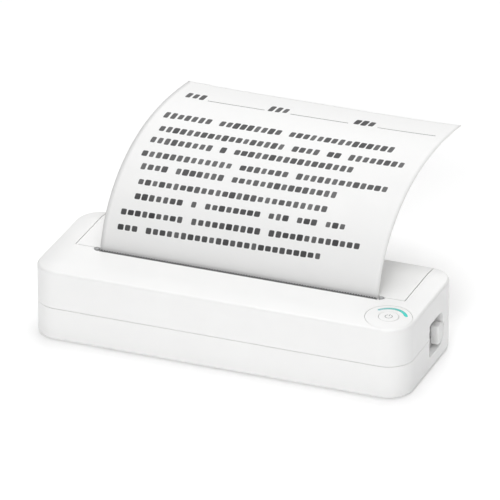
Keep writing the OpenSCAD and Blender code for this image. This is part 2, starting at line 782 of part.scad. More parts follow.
module board_connectors() {
  color("#e6e0cf") {
    on_board(59, board_w - 5.6, 26, 4.6, 4.4);
    on_board(137, board_w - 5.6, 10, 4.6, 5);
    on_board(153, board_w - 5.6, 8, 4.6, 5);
    on_board(167, board_w - 5.6, 12, 4.6, 5);
  }
}

module board_screws() {
  color(steel) for (p = post_pts) translate([p[0], p[1], board_z + board_t]) {
    cylinder(r = 1.8, h = 1.2);
    translate([0, 0, -7]) cylinder(r = 0.9, h = 7.1);
  }
}

module usb_socket() {
  translate([-body_l / 2 + 0.9, usb_c[0], usb_c[1]]) rotate([90, 0, 90])
    color(steel) difference() {
      linear_extrude(8) rounded_2d(8.94, 3.2, 1.5);
      translate([0, 0, -1]) linear_extrude(7) difference() {
        rounded_2d(8.3, 2.6, 1.25);
        square([6.7, 0.7], center = true);
      }
    }
}

module battery_cells() {
  color("#3f7fb8") for (x = [-70, 4.5]) bar_x(cell_c, cell_d / 2, x, x + cell_l);
}

// ---------- print mechanism ----------

module notch_2d() {
  p = [platen_y, platen_z];
  q = [open_dir[1], -open_dir[0]];
  translate(p) circle(4.3);
  polygon([p - q * 4.3, p + q * 4.3, p + open_dir * 16 + q * 8, p + open_dir * 16 - q * 8]);
}

module cheek_2d() {
  difference() {
    polygon([[frame_y, frame_z], [1, frame_z], [7, 22], [7, 41], [4.4, platen_z + 0.6],
      [-6.6, platen_z + 2.3], [-8, platen_z + 3], [-19.5, platen_z + 3], [-19.5, board2_z - 2],
      [frame_y, board2_z - 2]]);
    notch_2d();
  }
}

module mechanism_frame() {
  color(steel) difference() {
    union() {
      for (s = [-1, 1]) along_x(s > 0 ? cheek_x : -cheek_x - cheek_t, s > 0 ? cheek_x + cheek_t : -cheek_x)
        cheek_2d();
      span([-cheek_x - 0.1, frame_y, frame_z], [cheek_x + 0.1, frame_y + frame_t, board2_z - 2]);
      span([-100, frame_y, frame_z], [100, frame_y + frame_t, platen_z + 3]);
      span([-cheek_x - 0.1, frame_y, frame_z], [cheek_x + 0.1, -14, frame_z + frame_t]);
    }
    for (p = frame_pts) translate([p[0], p[1], frame_z - 1]) cylinder(r = 1.6, h = 4);
    bar_x(motor_c, 2.6, -cheek_x - 3, -cheek_x + 1);
    bar_x(axle_c, 1.5, -cheek_x - 3, -cheek_x + 1);
    bar_x(pivot_c, pivot_d / 2, -cheek_x - 3, cheek_x + 3);
    // windows that lighten the front wall and pass the head's ribbon
    for (x = [-84, -28, 28, 84]) span([x - 16, frame_y - 1, 13], [x + 16, frame_y + 2, 29]);
  }
}

module frame_screws() {
  color(steel) for (p = frame_pts) translate([p[0], p[1], frame_z + frame_t]) {
    cylinder(r = 2.4, h = 1.6);
    translate([0, 0, -4]) cylinder(r = 1.15, h = 4.1);
  }
}

module head_pivot() {
  color(steel) bar_x(pivot_c, pivot_d / 2, -cheek_x - cheek_t, cheek_x + cheek_t);
}

module head_heatsink() {
  y1 = head_front - strip_t;
  color("#c9ccd0") along_x(-sleeve_x, sleeve_x) difference() {
    union() {
      translate([y1 - sink_t, pivot_c[1]]) square([sink_t, 15]);
      translate(pivot_c) circle(sink_t / 2);
      // longitudinal fins on the back
      for (z = [3, 6, 11, 14]) translate([y1 - sink_t - 1.2, pivot_c[1] + z]) square([1.3, 1]);
    }
    translate(pivot_c) circle(pivot_d / 2 + 0.05);
  }
}

module head_strip() {
  color("#efece4") along_x(-half_paper - 1.5, half_paper + 1.5) {
    translate([head_front - strip_t, platen_z - 4]) square([strip_t - 0.12, 8.4]);
    // raised glaze with the heater line
    intersection() {
      translate([head_front - 2, platen_z]) circle(2);
      translate([head_front - 0.6, platen_z - 2]) square([1, 4]);
    }
  }
}

module head_driver_cover() {
  color("#303234") along_x(-half_paper + 4, half_paper - 4)
    polygon([[head_front - strip_t, pivot_c[1] + 2.2], [head_front - strip_t + 1.2, pivot_c[1] + 2.2],
      [head_front - strip_t + 1.9, pivot_c[1] + 3.4], [head_front - strip_t + 0.9, pivot_c[1] + 5.4],
      [head_front - strip_t, pivot_c[1] + 5.4]]);
}

module head_springs() {
  y0 = frame_y + frame_t;
  y1 = head_front - strip_t - sink_t;
  z = pivot_c[1] + 8.5;
  color(steel) for (x = [-75, -25, 25, 75]) along_x(x - 4, x + 4)
    polygon([[y0, z - 3], [y0 + 0.4, z - 3], [y0 + 0.4, z - 0.4], [y1 - 0.6, z + 0.3],
      [y1 - 0.05, z - 1.2], [y1 - 0.05, z + 1.2], [y1 - 0.9, z + 0.9], [y0, z + 0.1]]);
}

module paper_guide() {
  n = [cos(tangent_a), sin(tangent_a)];
  p = roll_c + (leave_r + 0.42) * n;
  color("#2f3234") along_x(-cheek_x, cheek_x)
    polygon([p + guide_u * 3.4, p + guide_u * 23.5, p + guide_u * 23.5 + n * 0.9,
      p + guide_u * 3.4 + n * 0.9]);
}

module motor_case() {
  color("#a9adb1") {
    bar_x(motor_c, motor_d / 2, -cheek_x, -cheek_x + motor_l);
    difference() {
      along_x(-cheek_x, -cheek_x + 1) {
        for (a = [135, 315]) translate(motor_c + polar(motor_d / 2 + 3, a)) circle(3.4);
        translate(motor_c) rotate(135) square([motor_d + 6, 6.8], center = true);
      }
      for (a = [135, 315]) bar_x(motor_c + polar(motor_d / 2 + 3, a), 1.4, -cheek_x - 1, -cheek_x + 3);
    }
  }
}

module motor_shaft() {
  color(steel) bar_x(motor_c, 1, -large_x - gear_w + 0.1, -cheek_x - 0.1);
}

module motor_pinion() {
  // a gap of the pinion faces a tooth of the large wheel
  color("#d8b25c") difference() {
    along_x(-large_x - gear_w + 0.2, -large_x + 0.8) translate(motor_c)
      polygon(gear_pts(pinion_teeth, motor_a + 180 + 180 / pinion_teeth));
    bar_x(motor_c, 1, -large_x - gear_w - 1, -large_x + 3);
  }
}

module gear_axle() {
  color(steel) bar_x(axle_c, 1.5, -large_x - gear_w - 0.8, -cheek_x);
}

module reduction_gear() {
  color("#ece9e0") difference() {
    union() {
      // large wheel, dished between hub and rim
      difference() {
        along_x(-large_x - gear_w + 0.4, -large_x) translate(axle_c)
          polygon(gear_pts(large_teeth, motor_a));
        difference() {
          bar_x(axle_c, gear_m * large_teeth / 2 - 2.2, -large_x - gear_w, -large_x - 1.5);
          bar_x(axle_c, 3.4, -large_x - gear_w - 1, -large_x + 1);
        }
      }
      bar_x(axle_c, 3.2, -large_x - 0.1, -gear_x - gear_w + 0.2);
      along_x(-gear_x - gear_w, -gear_x) translate(axle_c)
        polygon(gear_pts(small_teeth, open_a + 180 / small_teeth));
    }
    bar_x(axle_c, 1.55, -large_x - 9, -gear_x + 5);
  }
}

module platen_gear() {
  color("#ece9e0") difference() {
    along_x(-gear_x - gear_w, -gear_x) translate([platen_y, platen_z])
      polygon(gear_pts(platen_teeth, open_a + 180));
    bar_x([platen_y, platen_z], shaft_d / 2, -gear_x - 9, -gear_x + 5);
  }
}

module platen_shaft() {
  c = [platen_y, platen_z];
  color(steel) {
    bar_x(c, shaft_d / 2, -gear_x - gear_w - 0.5, cheek_x + cheek_t + 1.4);
    bar_x(c, shaft_d / 2 + 1.2, -sleeve_x, sleeve_x);
  }
}

module platen_rubber() {
  c = [platen_y, platen_z];
  color("#34373a") difference() {
    bar_x(c, platen_d / 2, -sleeve_x, sleeve_x);
    bar_x(c, shaft_d / 2 + 1.2, -sleeve_x - 1, sleeve_x + 1);
  }
}

module platen_bushings() {
  c = [platen_y, platen_z];
  color("#8b6b3a") for (s = [-1, 1]) mirror([s < 0 ? 1 : 0, 0, 0]) difference() {
    union() {
      bar_x(c, 4, bracket_x - 0.8, cheek_x + cheek_t + 0.2);
      bar_x(c, 4.9, bracket_x - 0.8, bracket_x);
    }
    bar_x(c, shaft_d / 2 + 0.04, bracket_x - 3, cheek_x + 5);
  }
}

module bracket(s) {
  mirror([s < 0 ? 1 : 0, 0, 0]) difference() {
    union() {
      along_x(bracket_x, bracket_x + bracket_t) {
        translate([platen_y, platen_z]) circle(5.6);
        translate([cover_front + 3.6, platen_z]) square([platen_y + 5.6 - cover_front - 3.6, top_in - platen_z]);
        translate([platen_y + 5, top_in - 4]) square([14, 4]);
      }
      span([bracket_x - 4, platen_y + 8, top_in - 1.6], [bracket_x + 1, platen_y + 17, top_in]);
    }
    bar_x([platen_y, platen_z], 4, bracket_x - 2, bracket_x + 9);
  }
}

module bracket_left() { color("#d9dbdc") bracket(-1); }

module bracket_right() { color("#d9dbdc") bracket(1); }

// ---------- paper ----------

module paper_roll() {
  color("#fbfbfa") difference() {
    bar_x(roll_c, roll_r, -half_paper, half_paper);
    bar_x(roll_c, core_d / 2, -half_paper - 1, half_paper + 1);
  }
}

module roll_core() {
  color("#b08d5e") difference() {
    bar_x(roll_c, core_d / 2, -half_paper, half_paper);
    bar_x(roll_c, core_d / 2 - 1.5, -half_paper - 1, half_paper + 1);
  }
}

module roll_hubs() {
  color("#44474a") for (s = [-1, 1]) mirror([s < 0 ? 1 : 0, 0, 0]) {
    bar_x(roll_c, core_d / 2 - 1.5, half_paper - 12, hub_x);
    bar_x(roll_c, core_d / 2 + 3.5, hub_x - 0.05, hub_x + 1.4);
    bar_x(roll_c, journal_d / 2, hub_x, hub_x + 4.3);
  }
}

// Lean of the sheet at distance s from the slot, and the points along it
function lean(s) = -16.9 + 93.75 * exp(-pow(s / bend_l, 1.07));
sheet_n = 26;
sheet_step = sheet_l / sheet_n;
function sheet_pt(i) = i == 0 ? [sheet_y, body_h + 0.4] :
  sheet_pt(i - 1) + sheet_step * [cos(lean((i - 0.5) * sheet_step)), sin(lean((i - 0.5) * sheet_step))];

module printed_sheet() {
  wrap_n = 4;
  mid = concat(
    [roll_c + polar(leave_r, tangent_a)],
    [for (i = [0:wrap_n]) [platen_y, platen_z] + polar(wrap_r, tangent_a + (180 - tangent_a) * i / wrap_n)],
    [for (i = [0:sheet_n]) sheet_pt(i)]);
  n = len(mid);
  dirs = [for (i = [0:n - 1]) let (d = mid[min(i + 1, n - 1)] - mid[max(i - 1, 0)]) d / norm(d)];
  left = [for (i = [0:n - 1]) mid[i] + paper_t / 2 * [-dirs[i][1], dirs[i][0]]];
  right = [for (i = [n - 1:-1:0]) mid[i] - paper_t / 2 * [-dirs[i][1], dirs[i][0]]];
  color("#fdfdfc") along_x(-half_paper, half_paper) polygon(concat(left, right));
}

// ---------- latch ----------

// Outline of the knob in (y, z), drawn in by g, with its large corner low at the rear.
module knob_2d(g = 0) {
  offset(delta = -g) union() {
    translate([0.8, 0]) square([knob_l - 0.8 - knob_r, knob_h], $fn = 32);
    translate([0, 0.8]) square([knob_l - knob_r, knob_h - 1.6]);
    translate([knob_l - 3, knob_r]) square([3, knob_h - knob_r - 2]);
    translate([knob_l - knob_r - 0.1, 5]) square([knob_r - 1.9, knob_h - 5]);
    for (z = [0.8, knob_h - 0.8]) translate([0.8, z]) circle(0.8, $fn = 32);
    translate([knob_l - knob_r, knob_r]) intersection() {
      circle(knob_r, $fn = 64);
      translate([0, -knob_r]) square(2 * knob_r);
    }
    translate([knob_l - 2, knob_h - 2]) circle(2, $fn = 32);
  }
}

module latch_knob() {
  y0 = knob_y;
  x1 = body_l / 2;
  color(white) difference() {
    union() {
      // cap with an edge rounded in steps
      hull() for (k = [[0, 0], [recess_depth - 1.3, 0], [recess_depth - 0.8, 0.13],
          [recess_depth - 0.45, 0.45], [recess_depth - 0.3, 0.95]])
        translate([recess_x + 0.3 + k[0] - (k[0] > 0 ? 0.02 : 0), y0, knob_z - knob_h / 2])
          rotate([90, 0, 90]) linear_extrude(0.02) knob_2d(k[1]);
      span([slide_x, y0 + 1.2, knob_z - 2], [recess_x + 0.4, y0 + knob_l - 3, knob_z + 2]);
    }
    // upright grip grooves in the face that the finger meets
    for (x = [1.4, 2.7, 4]) translate([recess_x + 0.3 + x, y0 - 0.2, knob_z - knob_h / 2 + 1.6])
      cube([0.55, 0.55, knob_h - 3.2]);
  }
}

module latch_slide() {
  color("#d9dbdc") difference() {
    union() {
      span([slide_x - slide_t, 6, 14.2], [slide_x, 30, 29.8]);
      span([slide_x - slide_t, 20, 29], [slide_x, 28, 46]);
      span([cover_w / 2 - 8, hook_y - 4, 43], [slide_x, hook_y, 46]);
    }
    span([slide_x - slide_t - 1, knob_y + 1.2, knob_z - 2], [slide_x + 1, knob_y + knob_l - 3, knob_z + 2]);
  }
}

module latch_guide() {
  x0 = slide_x - slide_t - 0.2;
  color("#c9cccd") difference() {
    span([x0 - 2, -14, 11], [recess_x - pocket_t, 34, 33]);
    span([x0, -12.5, 14], [recess_x, 32.5, 30]);
    span([x0 - 3, 11.5, 28], [recess_x, 28.5, 40]);
  }
}

// A wire of radius w wound n turns about an axis along Y, from y0 to y1.
module coil(n, r, w, y0, y1) {
  m = 10 * n;
  k = 6;
  pts = [for (i = [0:m], j = [0:k - 1])
    let (a = 360 * i / 10, y = y0 + w + (y1 - y0 - 2 * w) * i / m, b = 360 * j / k,
         q = r + w * cos(b))
    [q * cos(a), y + w * sin(b), q * sin(a)]];
  faces = concat(
    [[for (j = [k - 1:-1:0]) j]],
    [for (i = [0:m - 1], j = [0:k - 1])
      each [[i * k + j, i * k + (j + 1) % k, (i + 1) * k + (j + 1) % k],
        [i * k + j, (i + 1) * k + (j + 1) % k, (i + 1) * k + j]]],
    [[for (j = [0:k - 1]) m * k + j]]);
  polyhedron(points = pts, faces = faces, convexity = 10);
}

module latch_spring() {
  color(steel) translate([slide_x - slide_t / 2, 0, 22])
    coil(9, 0.95, 0.22, -12.4, 5.9);
}

base_shell();
top_shell();
rubber_feet();
case_screws();
tear_bar();
control_panel();
light_arc();
power_button();
button_board();
tact_switch();
main_board();
processor_chip();
board_chips();
board_capacitors();
board_connectors();
board_screws();
usb_socket();
battery_cells();
mechanism_frame();
frame_screws();
head_pivot();
head_heatsink();
head_strip();
head_driver_cover();
head_springs();
paper_guide();
motor_case();
motor_shaft();
motor_pinion();
gear_axle();
reduction_gear();
platen_gear();
platen_shaft();
platen_rubber();
platen_bushings();
bracket_left();
bracket_right();
rear_cover();
cover_liner();
liner_screws();
cover_catch();
hinge_pins();
paper_roll();
roll_core();
roll_hubs();
printed_sheet();
latch_knob();
latch_slide();
latch_guide();
latch_spring();
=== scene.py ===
"""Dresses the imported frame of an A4 portable thermal printer.

The frame holds every rigid part. This script gives each of them its finish, makes the
two pieces that are finer than a frame part (the printed sheet and the paper roll), and
sets the studio. All lengths are metres in the frame's own axes: X along the housing
towards the control panel, Y to the rear, Z up from the table.
"""
import logging
import math
from dataclasses import dataclass, field
from enum import Enum
from typing import Optional, Sequence, Union

import bmesh
import bpy
import numpy as np
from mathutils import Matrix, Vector


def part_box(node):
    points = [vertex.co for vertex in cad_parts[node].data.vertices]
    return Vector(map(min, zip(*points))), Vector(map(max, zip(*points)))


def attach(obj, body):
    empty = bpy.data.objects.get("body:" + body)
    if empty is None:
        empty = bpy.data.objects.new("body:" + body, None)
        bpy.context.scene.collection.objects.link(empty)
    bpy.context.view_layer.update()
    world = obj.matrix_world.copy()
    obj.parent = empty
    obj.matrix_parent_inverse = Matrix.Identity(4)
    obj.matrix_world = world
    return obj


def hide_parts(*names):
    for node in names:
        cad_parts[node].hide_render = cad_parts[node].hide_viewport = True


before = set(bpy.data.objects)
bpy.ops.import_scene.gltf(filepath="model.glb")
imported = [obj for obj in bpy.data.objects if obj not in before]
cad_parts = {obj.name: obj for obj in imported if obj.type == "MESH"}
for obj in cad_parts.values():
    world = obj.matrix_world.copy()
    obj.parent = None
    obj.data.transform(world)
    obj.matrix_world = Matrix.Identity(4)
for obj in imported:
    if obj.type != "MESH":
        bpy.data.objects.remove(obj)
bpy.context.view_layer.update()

LOG = logging.getLogger("printer")
MM = 0.001
Rgb = tuple[float, float, float]
Socket = bpy.types.NodeSocket
Feed = Union[Socket, float]
Tint = Union[Socket, Rgb]

SEAM = 1e-7  # points nearer than this are one point, in metres
PLASTIC_IOR = 1.53
PLASTIC_WAVES = 38.0  # waves of colour and sink marks in a metre of moulded plastic
WHITE: Rgb = (0.87, 0.87, 0.865)  # the housing's plastic
SENSOR = 36.0  # width of the camera's sensor, in millimetres
SECOND_DICE = 40.5  # added to a row's number, it gives each cell a second random number
BEND_POINTS = 13  # points on the floor's bend


class Body(str, Enum):
    """The bodies of the frame that the pieces made here ride on."""

    HOUSING = "housing"
    ROLL = "paper_roll"


class Axis(Enum):
    """Direction in which a surface was drawn, rolled or ground."""

    X = 0
    Y = 1
    Z = 2


# ---------------------------------------------------------------- surfaces


@dataclass(frozen=True)
class Surface:
    """A grid of points, optionally joined end to end along its columns.

    Attributes:
        points: Array of shape (rows, columns, 3), in metres.
        ring: True if the last column meets the first.
        flip: True if the faces have to be turned to point outwards.
        finish: Index of the material slot that its faces take.
    """

    points: np.ndarray
    ring: bool = False
    flip: bool = False
    finish: int = 0

    def corners(self) -> np.ndarray:
        """Works out the faces' corners as whole arrays.

        Returns:
            Integer array of shape (faces, 4) into the flattened grid.
        """
        rows, cols = self.points.shape[:2]
        r, c = np.meshgrid(np.arange(rows - 1), np.arange(cols if self.ring else cols - 1), indexing="ij")
        r2, c2 = r + 1, (c + 1) % cols
        quads = np.stack([r * cols + c, r * cols + c2, r2 * cols + c2, r2 * cols + c], -1)
        quads = quads.reshape(-1, 4)
        return quads[:, ::-1] if self.flip else quads


def make_piece(name: str, surfaces: Sequence[Surface],
               flats: Optional[Sequence[np.ndarray]] = None) -> bpy.types.Object:
    """Puts surfaces into one smooth mesh object whose place is in its mesh.

    Args:
        name: Name of the piece.
        surfaces: The grids that make up the piece.
        flats: For each surface, its points' (u, v) places when laid flat.

    Returns:
        The new object, linked to the scene.
    """
    points = np.concatenate([s.points.reshape(-1, 3) for s in surfaces])
    starts = np.cumsum([0] + [s.points.shape[0] * s.points.shape[1] for s in surfaces[:-1]])
    faces = np.concatenate([s.corners() + k for s, k in zip(surfaces, starts)])
    slots = np.concatenate([np.full(len(s.corners()), s.finish) for s in surfaces])
    mesh = bpy.data.meshes.new(name)
    mesh.from_pydata(points.tolist(), [], faces.tolist())
    mesh.polygons.foreach_set("use_smooth", np.full(len(faces), True))
    mesh.polygons.foreach_set("material_index", slots.astype(np.int32))
    if flats is not None:
        flat = np.concatenate([f.reshape(-1, 2) for f in flats])
        loops = np.empty(len(mesh.loops), np.int32)
        mesh.loops.foreach_get("vertex_index", loops)
        mesh.uv_layers.new(name="flat").data.foreach_set("uv", flat[loops].ravel())
    mesh.update()
    piece = bpy.data.objects.new(name, mesh)
    bpy.context.scene.collection.objects.link(piece)
    return piece


def close_seams(piece: bpy.types.Object) -> None:
    """Merges the points that meet along seams, then turns the faces outwards.

    Args:
        piece: The piece whose mesh is a closed shape.
    """
    bm = bmesh.new()
    bm.from_mesh(piece.data)
    bmesh.ops.remove_doubles(bm, verts=bm.verts, dist=SEAM)
    bmesh.ops.recalc_face_normals(bm, faces=bm.faces)
    bm.to_mesh(piece.data)
    bm.free()


# ---------------------------------------------------------------- finishes


class Bench:
    """Node graph of one material, with a method for each kind of node used here.

    Attributes:
        material: The material.
        tree: Its nodes and links.
        shader: The principled shader on its output.
    """

    def __init__(self, name: str) -> None:
        """Starts a material with a principled shader on its output.

        Args:
            name: Name of the material.
        """
        self.material = bpy.data.materials.new(name)
        self.material.use_nodes = True
        self.tree = self.material.node_tree
        self.tree.nodes.clear()
        out = self.tree.nodes.new("ShaderNodeOutputMaterial")
        self.shader = self.tree.nodes.new("ShaderNodeBsdfPrincipled")
        self.tree.links.new(self.shader.outputs["BSDF"], out.inputs["Surface"])

    def node(self, kind: str, **settings: object) -> bpy.types.Node:
        """Adds a node.

        Args:
            kind: Its type, as Blender names it.
            **settings: Properties that are set on it.

        Returns:
            The node.
        """
        made = self.tree.nodes.new(kind)
        for key, value in settings.items():
            setattr(made, key, value)
        return made

    def feed(self, socket: Socket, value: Feed) -> None:
        """Links a socket to another, or sets its constant.

        Args:
            socket: The socket that takes the value.
            value: Another socket, or a constant.
        """
        if isinstance(value, bpy.types.NodeSocket):
            self.tree.links.new(value, socket)
        else:
            socket.default_value = value

    def set(self, **inputs: object) -> None:
        """Feeds the shader's inputs.

        Args:
            **inputs: Values by the inputs' names, with underscores for blanks.
        """
        for key, value in inputs.items():
            socket = self.shader.inputs[key.replace("_", " ")]
            if isinstance(value, tuple) and socket.type == "RGBA":
                value = (*value, 1.0)
            self.feed(socket, value)

    def place(self, scale: Sequence[float] = (1, 1, 1), centre: Sequence[float] = (0, 0, 0)) -> Socket:
        """Gives the piece's own coordinates.

        Args:
            scale: Factor on each axis, after the move.
            centre: The point, in metres, that becomes the origin.

        Returns:
            A vector socket.
        """
        at = self.node("ShaderNodeTexCoord").outputs["Object"]
        moved = self.node("ShaderNodeVectorMath", operation="SUBTRACT")
        self.feed(moved.inputs[0], at)
        moved.inputs[1].default_value = tuple(centre)
        mapped = self.node("ShaderNodeMapping")
        self.feed(mapped.inputs["Vector"], moved.outputs[0])
        mapped.inputs["Scale"].default_value = tuple(scale)
        return mapped.outputs[0]

    def flat(self) -> Socket:
        """Gives the piece's places when laid flat, in metres."""
        return self.node("ShaderNodeUVMap", uv_map="flat").outputs[0]

    def split(self, vector: Socket) -> tuple[Socket, Socket, Socket]:
        """Takes a vector apart.

        Args:
            vector: The vector.

        Returns:
            Its three parts.
        """
        parts = self.node("ShaderNodeSeparateXYZ")
        self.feed(parts.inputs[0], vector)
        return parts.outputs[0], parts.outputs[1], parts.outputs[2]

    def join(self, x: Feed, y: Feed = 0.0) -> Socket:
        """Puts a flat vector together.

        Args:
            x: Its first part.
            y: Its second part.

        Returns:
            The vector, whose third part is 0.
        """
        whole = self.node("ShaderNodeCombineXYZ")
        for socket, value in zip(whole.inputs, (x, y)):
            self.feed(socket, value)
        return whole.outputs[0]

    def math(self, operation: str, *values: Feed, clamp: bool = False) -> Socket:
        """Adds one step of arithmetic.

        Args:
            operation: The step, as Blender names it.
            *values: What it works on.
            clamp: Whether the result is held between 0 and 1.

        Returns:
            The result.
        """
        step = self.node("ShaderNodeMath", operation=operation, use_clamp=clamp)
        for socket, value in zip(step.inputs, values):
            self.feed(socket, value)
        return step.outputs[0]

    def others(self, share: Feed) -> Socket:
        """Gives what a share leaves of 1."""
        return self.math("SUBTRACT", 1.0, share)

    def apart(self, value: Feed, middle: Feed) -> Socket:
        """Gives the distance of a value from a middle."""
        return self.math("ABSOLUTE", self.math("SUBTRACT", value, middle))

    def radius(self, x: Socket, y: Socket) -> Socket:
        """Gives the root of the sum of two squares."""
        return self.math("SQRT", self.math("ADD", self.math("MULTIPLY", x, x), self.math("MULTIPLY", y, y)))

    def noise(self, at: Socket, scale: float, detail: float = 3.0, roughness: float = 0.55,
              warp: float = 0.0) -> Socket:
        """Adds soft noise.

        Args:
            at: The places.
            scale: Its waves in one unit of the places.
            detail: How many finer layers it has.
            roughness: Weight of the finer layers.
            warp: How far it is bent by itself.

        Returns:
            The noise, 0 to 1, which stays between 0.3 and 0.7 for the most part.
        """
        made = self.node("ShaderNodeTexNoise")
        self.feed(made.inputs["Vector"], at)
        for key, value in (("Scale", scale), ("Detail", detail), ("Roughness", roughness),
                           ("Distortion", warp)):
            made.inputs[key].default_value = value
        return made.outputs[0]

    def vary(self, noise: Socket, low: float = 0.0, high: float = 1.0) -> Socket:
        """Maps a noise's usual range, 0.3 to 0.7, onto another, clamped."""
        return self.spread(noise, 0.3, 0.7, low, high)

    def cells(self, at: Socket, scale: float, metric: str = "EUCLIDEAN", output: str = "Distance") -> Socket:
        """Adds a cell pattern.

        Args:
            at: The places.
            scale: Its cells in one unit of the places.
            metric: How distance is counted, as Blender names it.
            output: What is asked of it, as Blender names it.

        Returns:
            That output.
        """
        made = self.node("ShaderNodeTexVoronoi", feature="F1", distance=metric)
        self.feed(made.inputs["Vector"], at)
        made.inputs["Scale"].default_value = scale
        return made.outputs[output]

    def dice(self, at: Socket) -> Socket:
        """Rolls one number for each place of whole coordinates.

        Args:
            at: The places.

        Returns:
            The number, 0 to 1, which is the same in each run.
        """
        made = self.node("ShaderNodeTexWhiteNoise", noise_dimensions="2D")
        self.feed(made.inputs["Vector"], at)
        return made.outputs["Value"]

    def spread(self, value: Feed, low: float, high: float, to_low: float = 0.0,
               to_high: float = 1.0, soft: bool = False) -> Socket:
        """Maps a range onto another, clamped.

        Args:
            value: The value.
            low: Start of its range.
            high: End of its range.
            to_low: What the start becomes.
            to_high: What the end becomes.
            soft: Whether the way between them eases in and out.

        Returns:
            The mapped value.
        """
        made = self.node("ShaderNodeMapRange",
                         interpolation_type="SMOOTHSTEP" if soft else "LINEAR")
        for key, number in (("From Min", low), ("From Max", high), ("To Min", to_low),
                            ("To Max", to_high)):
            made.inputs[key].default_value = number
        self.feed(made.inputs["Value"], value)
        return made.outputs["Result"]

    def below(self, value: Feed, limit: float, edge: float) -> Socket:
        """Gives 1 below a limit and 0 above it, with a soft edge."""
        return self.spread(value, limit - edge, limit + edge, 1.0, 0.0, soft=True)

    def within(self, value: Feed, low: float, high: float, edge: float) -> Socket:
        """Gives 1 between two values and 0 outside.

        Args:
            value: The value.
            low: The lower limit.
            high: The upper limit.
            edge: Half the width of the soft edges.

        Returns:
            The share.
        """
        up = self.spread(value, low - edge, low + edge, soft=True)
        return self.math("MULTIPLY", up, self.below(value, high, edge))

    def blend(self, share: Feed, first: Tint, second: Tint) -> Socket:
        """Mixes two colours.

        Args:
            share: Share of the second colour.
            first: The first colour.
            second: The second colour.

        Returns:
            The mixed colour.
        """
        made = self.node("ShaderNodeMix", data_type="RGBA", blend_type="MIX")
        self.feed(made.inputs[0], share)
        for socket, value in ((made.inputs[6], first), (made.inputs[7], second)):
            self.feed(socket, (*value, 1.0) if isinstance(value, tuple) else value)
        return made.outputs[2]

    def shades(self, share: Feed, colour: Rgb, dark: float, light: float) -> Socket:
        """Mixes a darker and a lighter shade of one colour."""
        return self.blend(share, shade(colour, dark), shade(colour, light))

    def ramp(self, share: Feed, stops: Sequence[tuple[float, Rgb]]) -> Socket:
        """Maps 0 to 1 onto colours.

        Args:
            share: The value that picks the colour.
            stops: (position, colour) pairs in rising order.

        Returns:
            A colour socket.
        """
        made = self.node("ShaderNodeValToRGB")
        made.color_ramp.interpolation = "LINEAR"
        points = made.color_ramp.elements
        while len(points) < len(stops):
            points.new(1.0)
        for point, (position, colour) in zip(points, stops):
            point.position = position
            point.color = (*colour, 1.0)
        self.feed(made.inputs[0], share)
        return made.outputs[0]

    def relief(self, height: Feed, depth: float, strength: float = 1.0,
               under: Optional[Socket] = None) -> Socket:
        """Turns a 0 to 1 height into a shaded relief.

        Args:
            height: The height's share.
            depth: Depth of the relief, in metres.
            strength: Share of the relief that shows.
            under: A coarser relief that this one lies on.

        Returns:
            A normal socket.
        """
        made = self.node("ShaderNodeBump")
        made.inputs["Strength"].default_value = strength
        made.inputs["Distance"].default_value = depth
        self.feed(made.inputs["Height"], height)
        if under is not None:
            self.feed(made.inputs["Normal"], under)
        return made.outputs[0]


def shade(colour: Rgb, factor: float) -> Rgb:
    """Scales a colour's brightness."""
    return tuple(min(1.0, c * factor) for c in colour)


@dataclass(frozen=True)
class Finish:
    """What every finish has.

    Attributes:
        name: Name of its material.
    """

    name: str

    def material(self) -> bpy.types.Material:
        """Builds the material.

        Returns:
            The material.
        """
        b = Bench(self.name)
        self.wire(b)
        return b.material

    def wire(self, b: Bench) -> None:
        """Wires the finish's own nodes on the bench; each finish says how."""
        raise NotImplementedError(type(self).__name__)


@dataclass(frozen=True)
class Moulded(Finish):
    """Injection-moulded plastic: spark-eroded grain, faint colour drift and patchy gloss.

    Attributes:
        colour: Colour of the plastic.
        roughness: Middle of the roughness.
        grain: Size of one grain, in metres.
        depth: Depth of the grain, in metres.
        sheen: Weight of the clear top layer.
        glow: Weight of the light scattered inside.
        drift: Share by which the colour drifts over some centimetres.
        flow: Depth of the wide, shallow sink marks, in metres.
        waves: Waves of drift and sink marks in a metre.
        patches: Patches of gloss in a metre.
        swing: How far the roughness goes from its middle.
        veil: Roughness of the clear top layer.
        inside: How far light goes inside, in metres.
    """

    colour: Rgb
    roughness: float = 0.34
    grain: float = 0.00035
    depth: float = 0.0000022
    sheen: float = 0.0
    glow: float = 0.0
    drift: float = 0.02
    flow: float = 0.00001
    waves: float = PLASTIC_WAVES
    patches: float = 60.0
    swing: float = 0.03
    veil: float = 0.26
    inside: float = 0.002

    def wire(self, b: Bench) -> None:
        """Lays the fine grain on the wide sink marks, which the colour drifts with.

        Args:
            b: The bench that the material is built on.
        """
        at = b.place()
        wide = b.noise(at, self.waves, detail=2.0)
        fine = b.noise(at, 1.0 / self.grain, detail=2.0, roughness=0.6)
        patchy = b.noise(at, self.patches, detail=2.0)
        gloss = b.vary(patchy, self.roughness - self.swing, self.roughness + self.swing)
        b.set(Base_Color=self.tone(b, wide), Roughness=gloss, IOR=PLASTIC_IOR,
              Normal=b.relief(fine, self.depth, strength=0.8, under=b.relief(wide, self.flow, strength=0.6)))
        if self.sheen:
            b.set(Coat_Weight=self.sheen, Coat_Roughness=self.veil)
        if self.glow:
            b.set(Subsurface_Weight=self.glow, Subsurface_Scale=self.inside,
                  Subsurface_Radius=(1.0, 0.9, 0.8))

    def tone(self, b: Bench, wide: Socket) -> Socket:
        """Colours the plastic, with wide noise that the colour drifts with."""
        return b.shades(wide, self.colour, 1.0 - self.drift, 1.0 + self.drift)


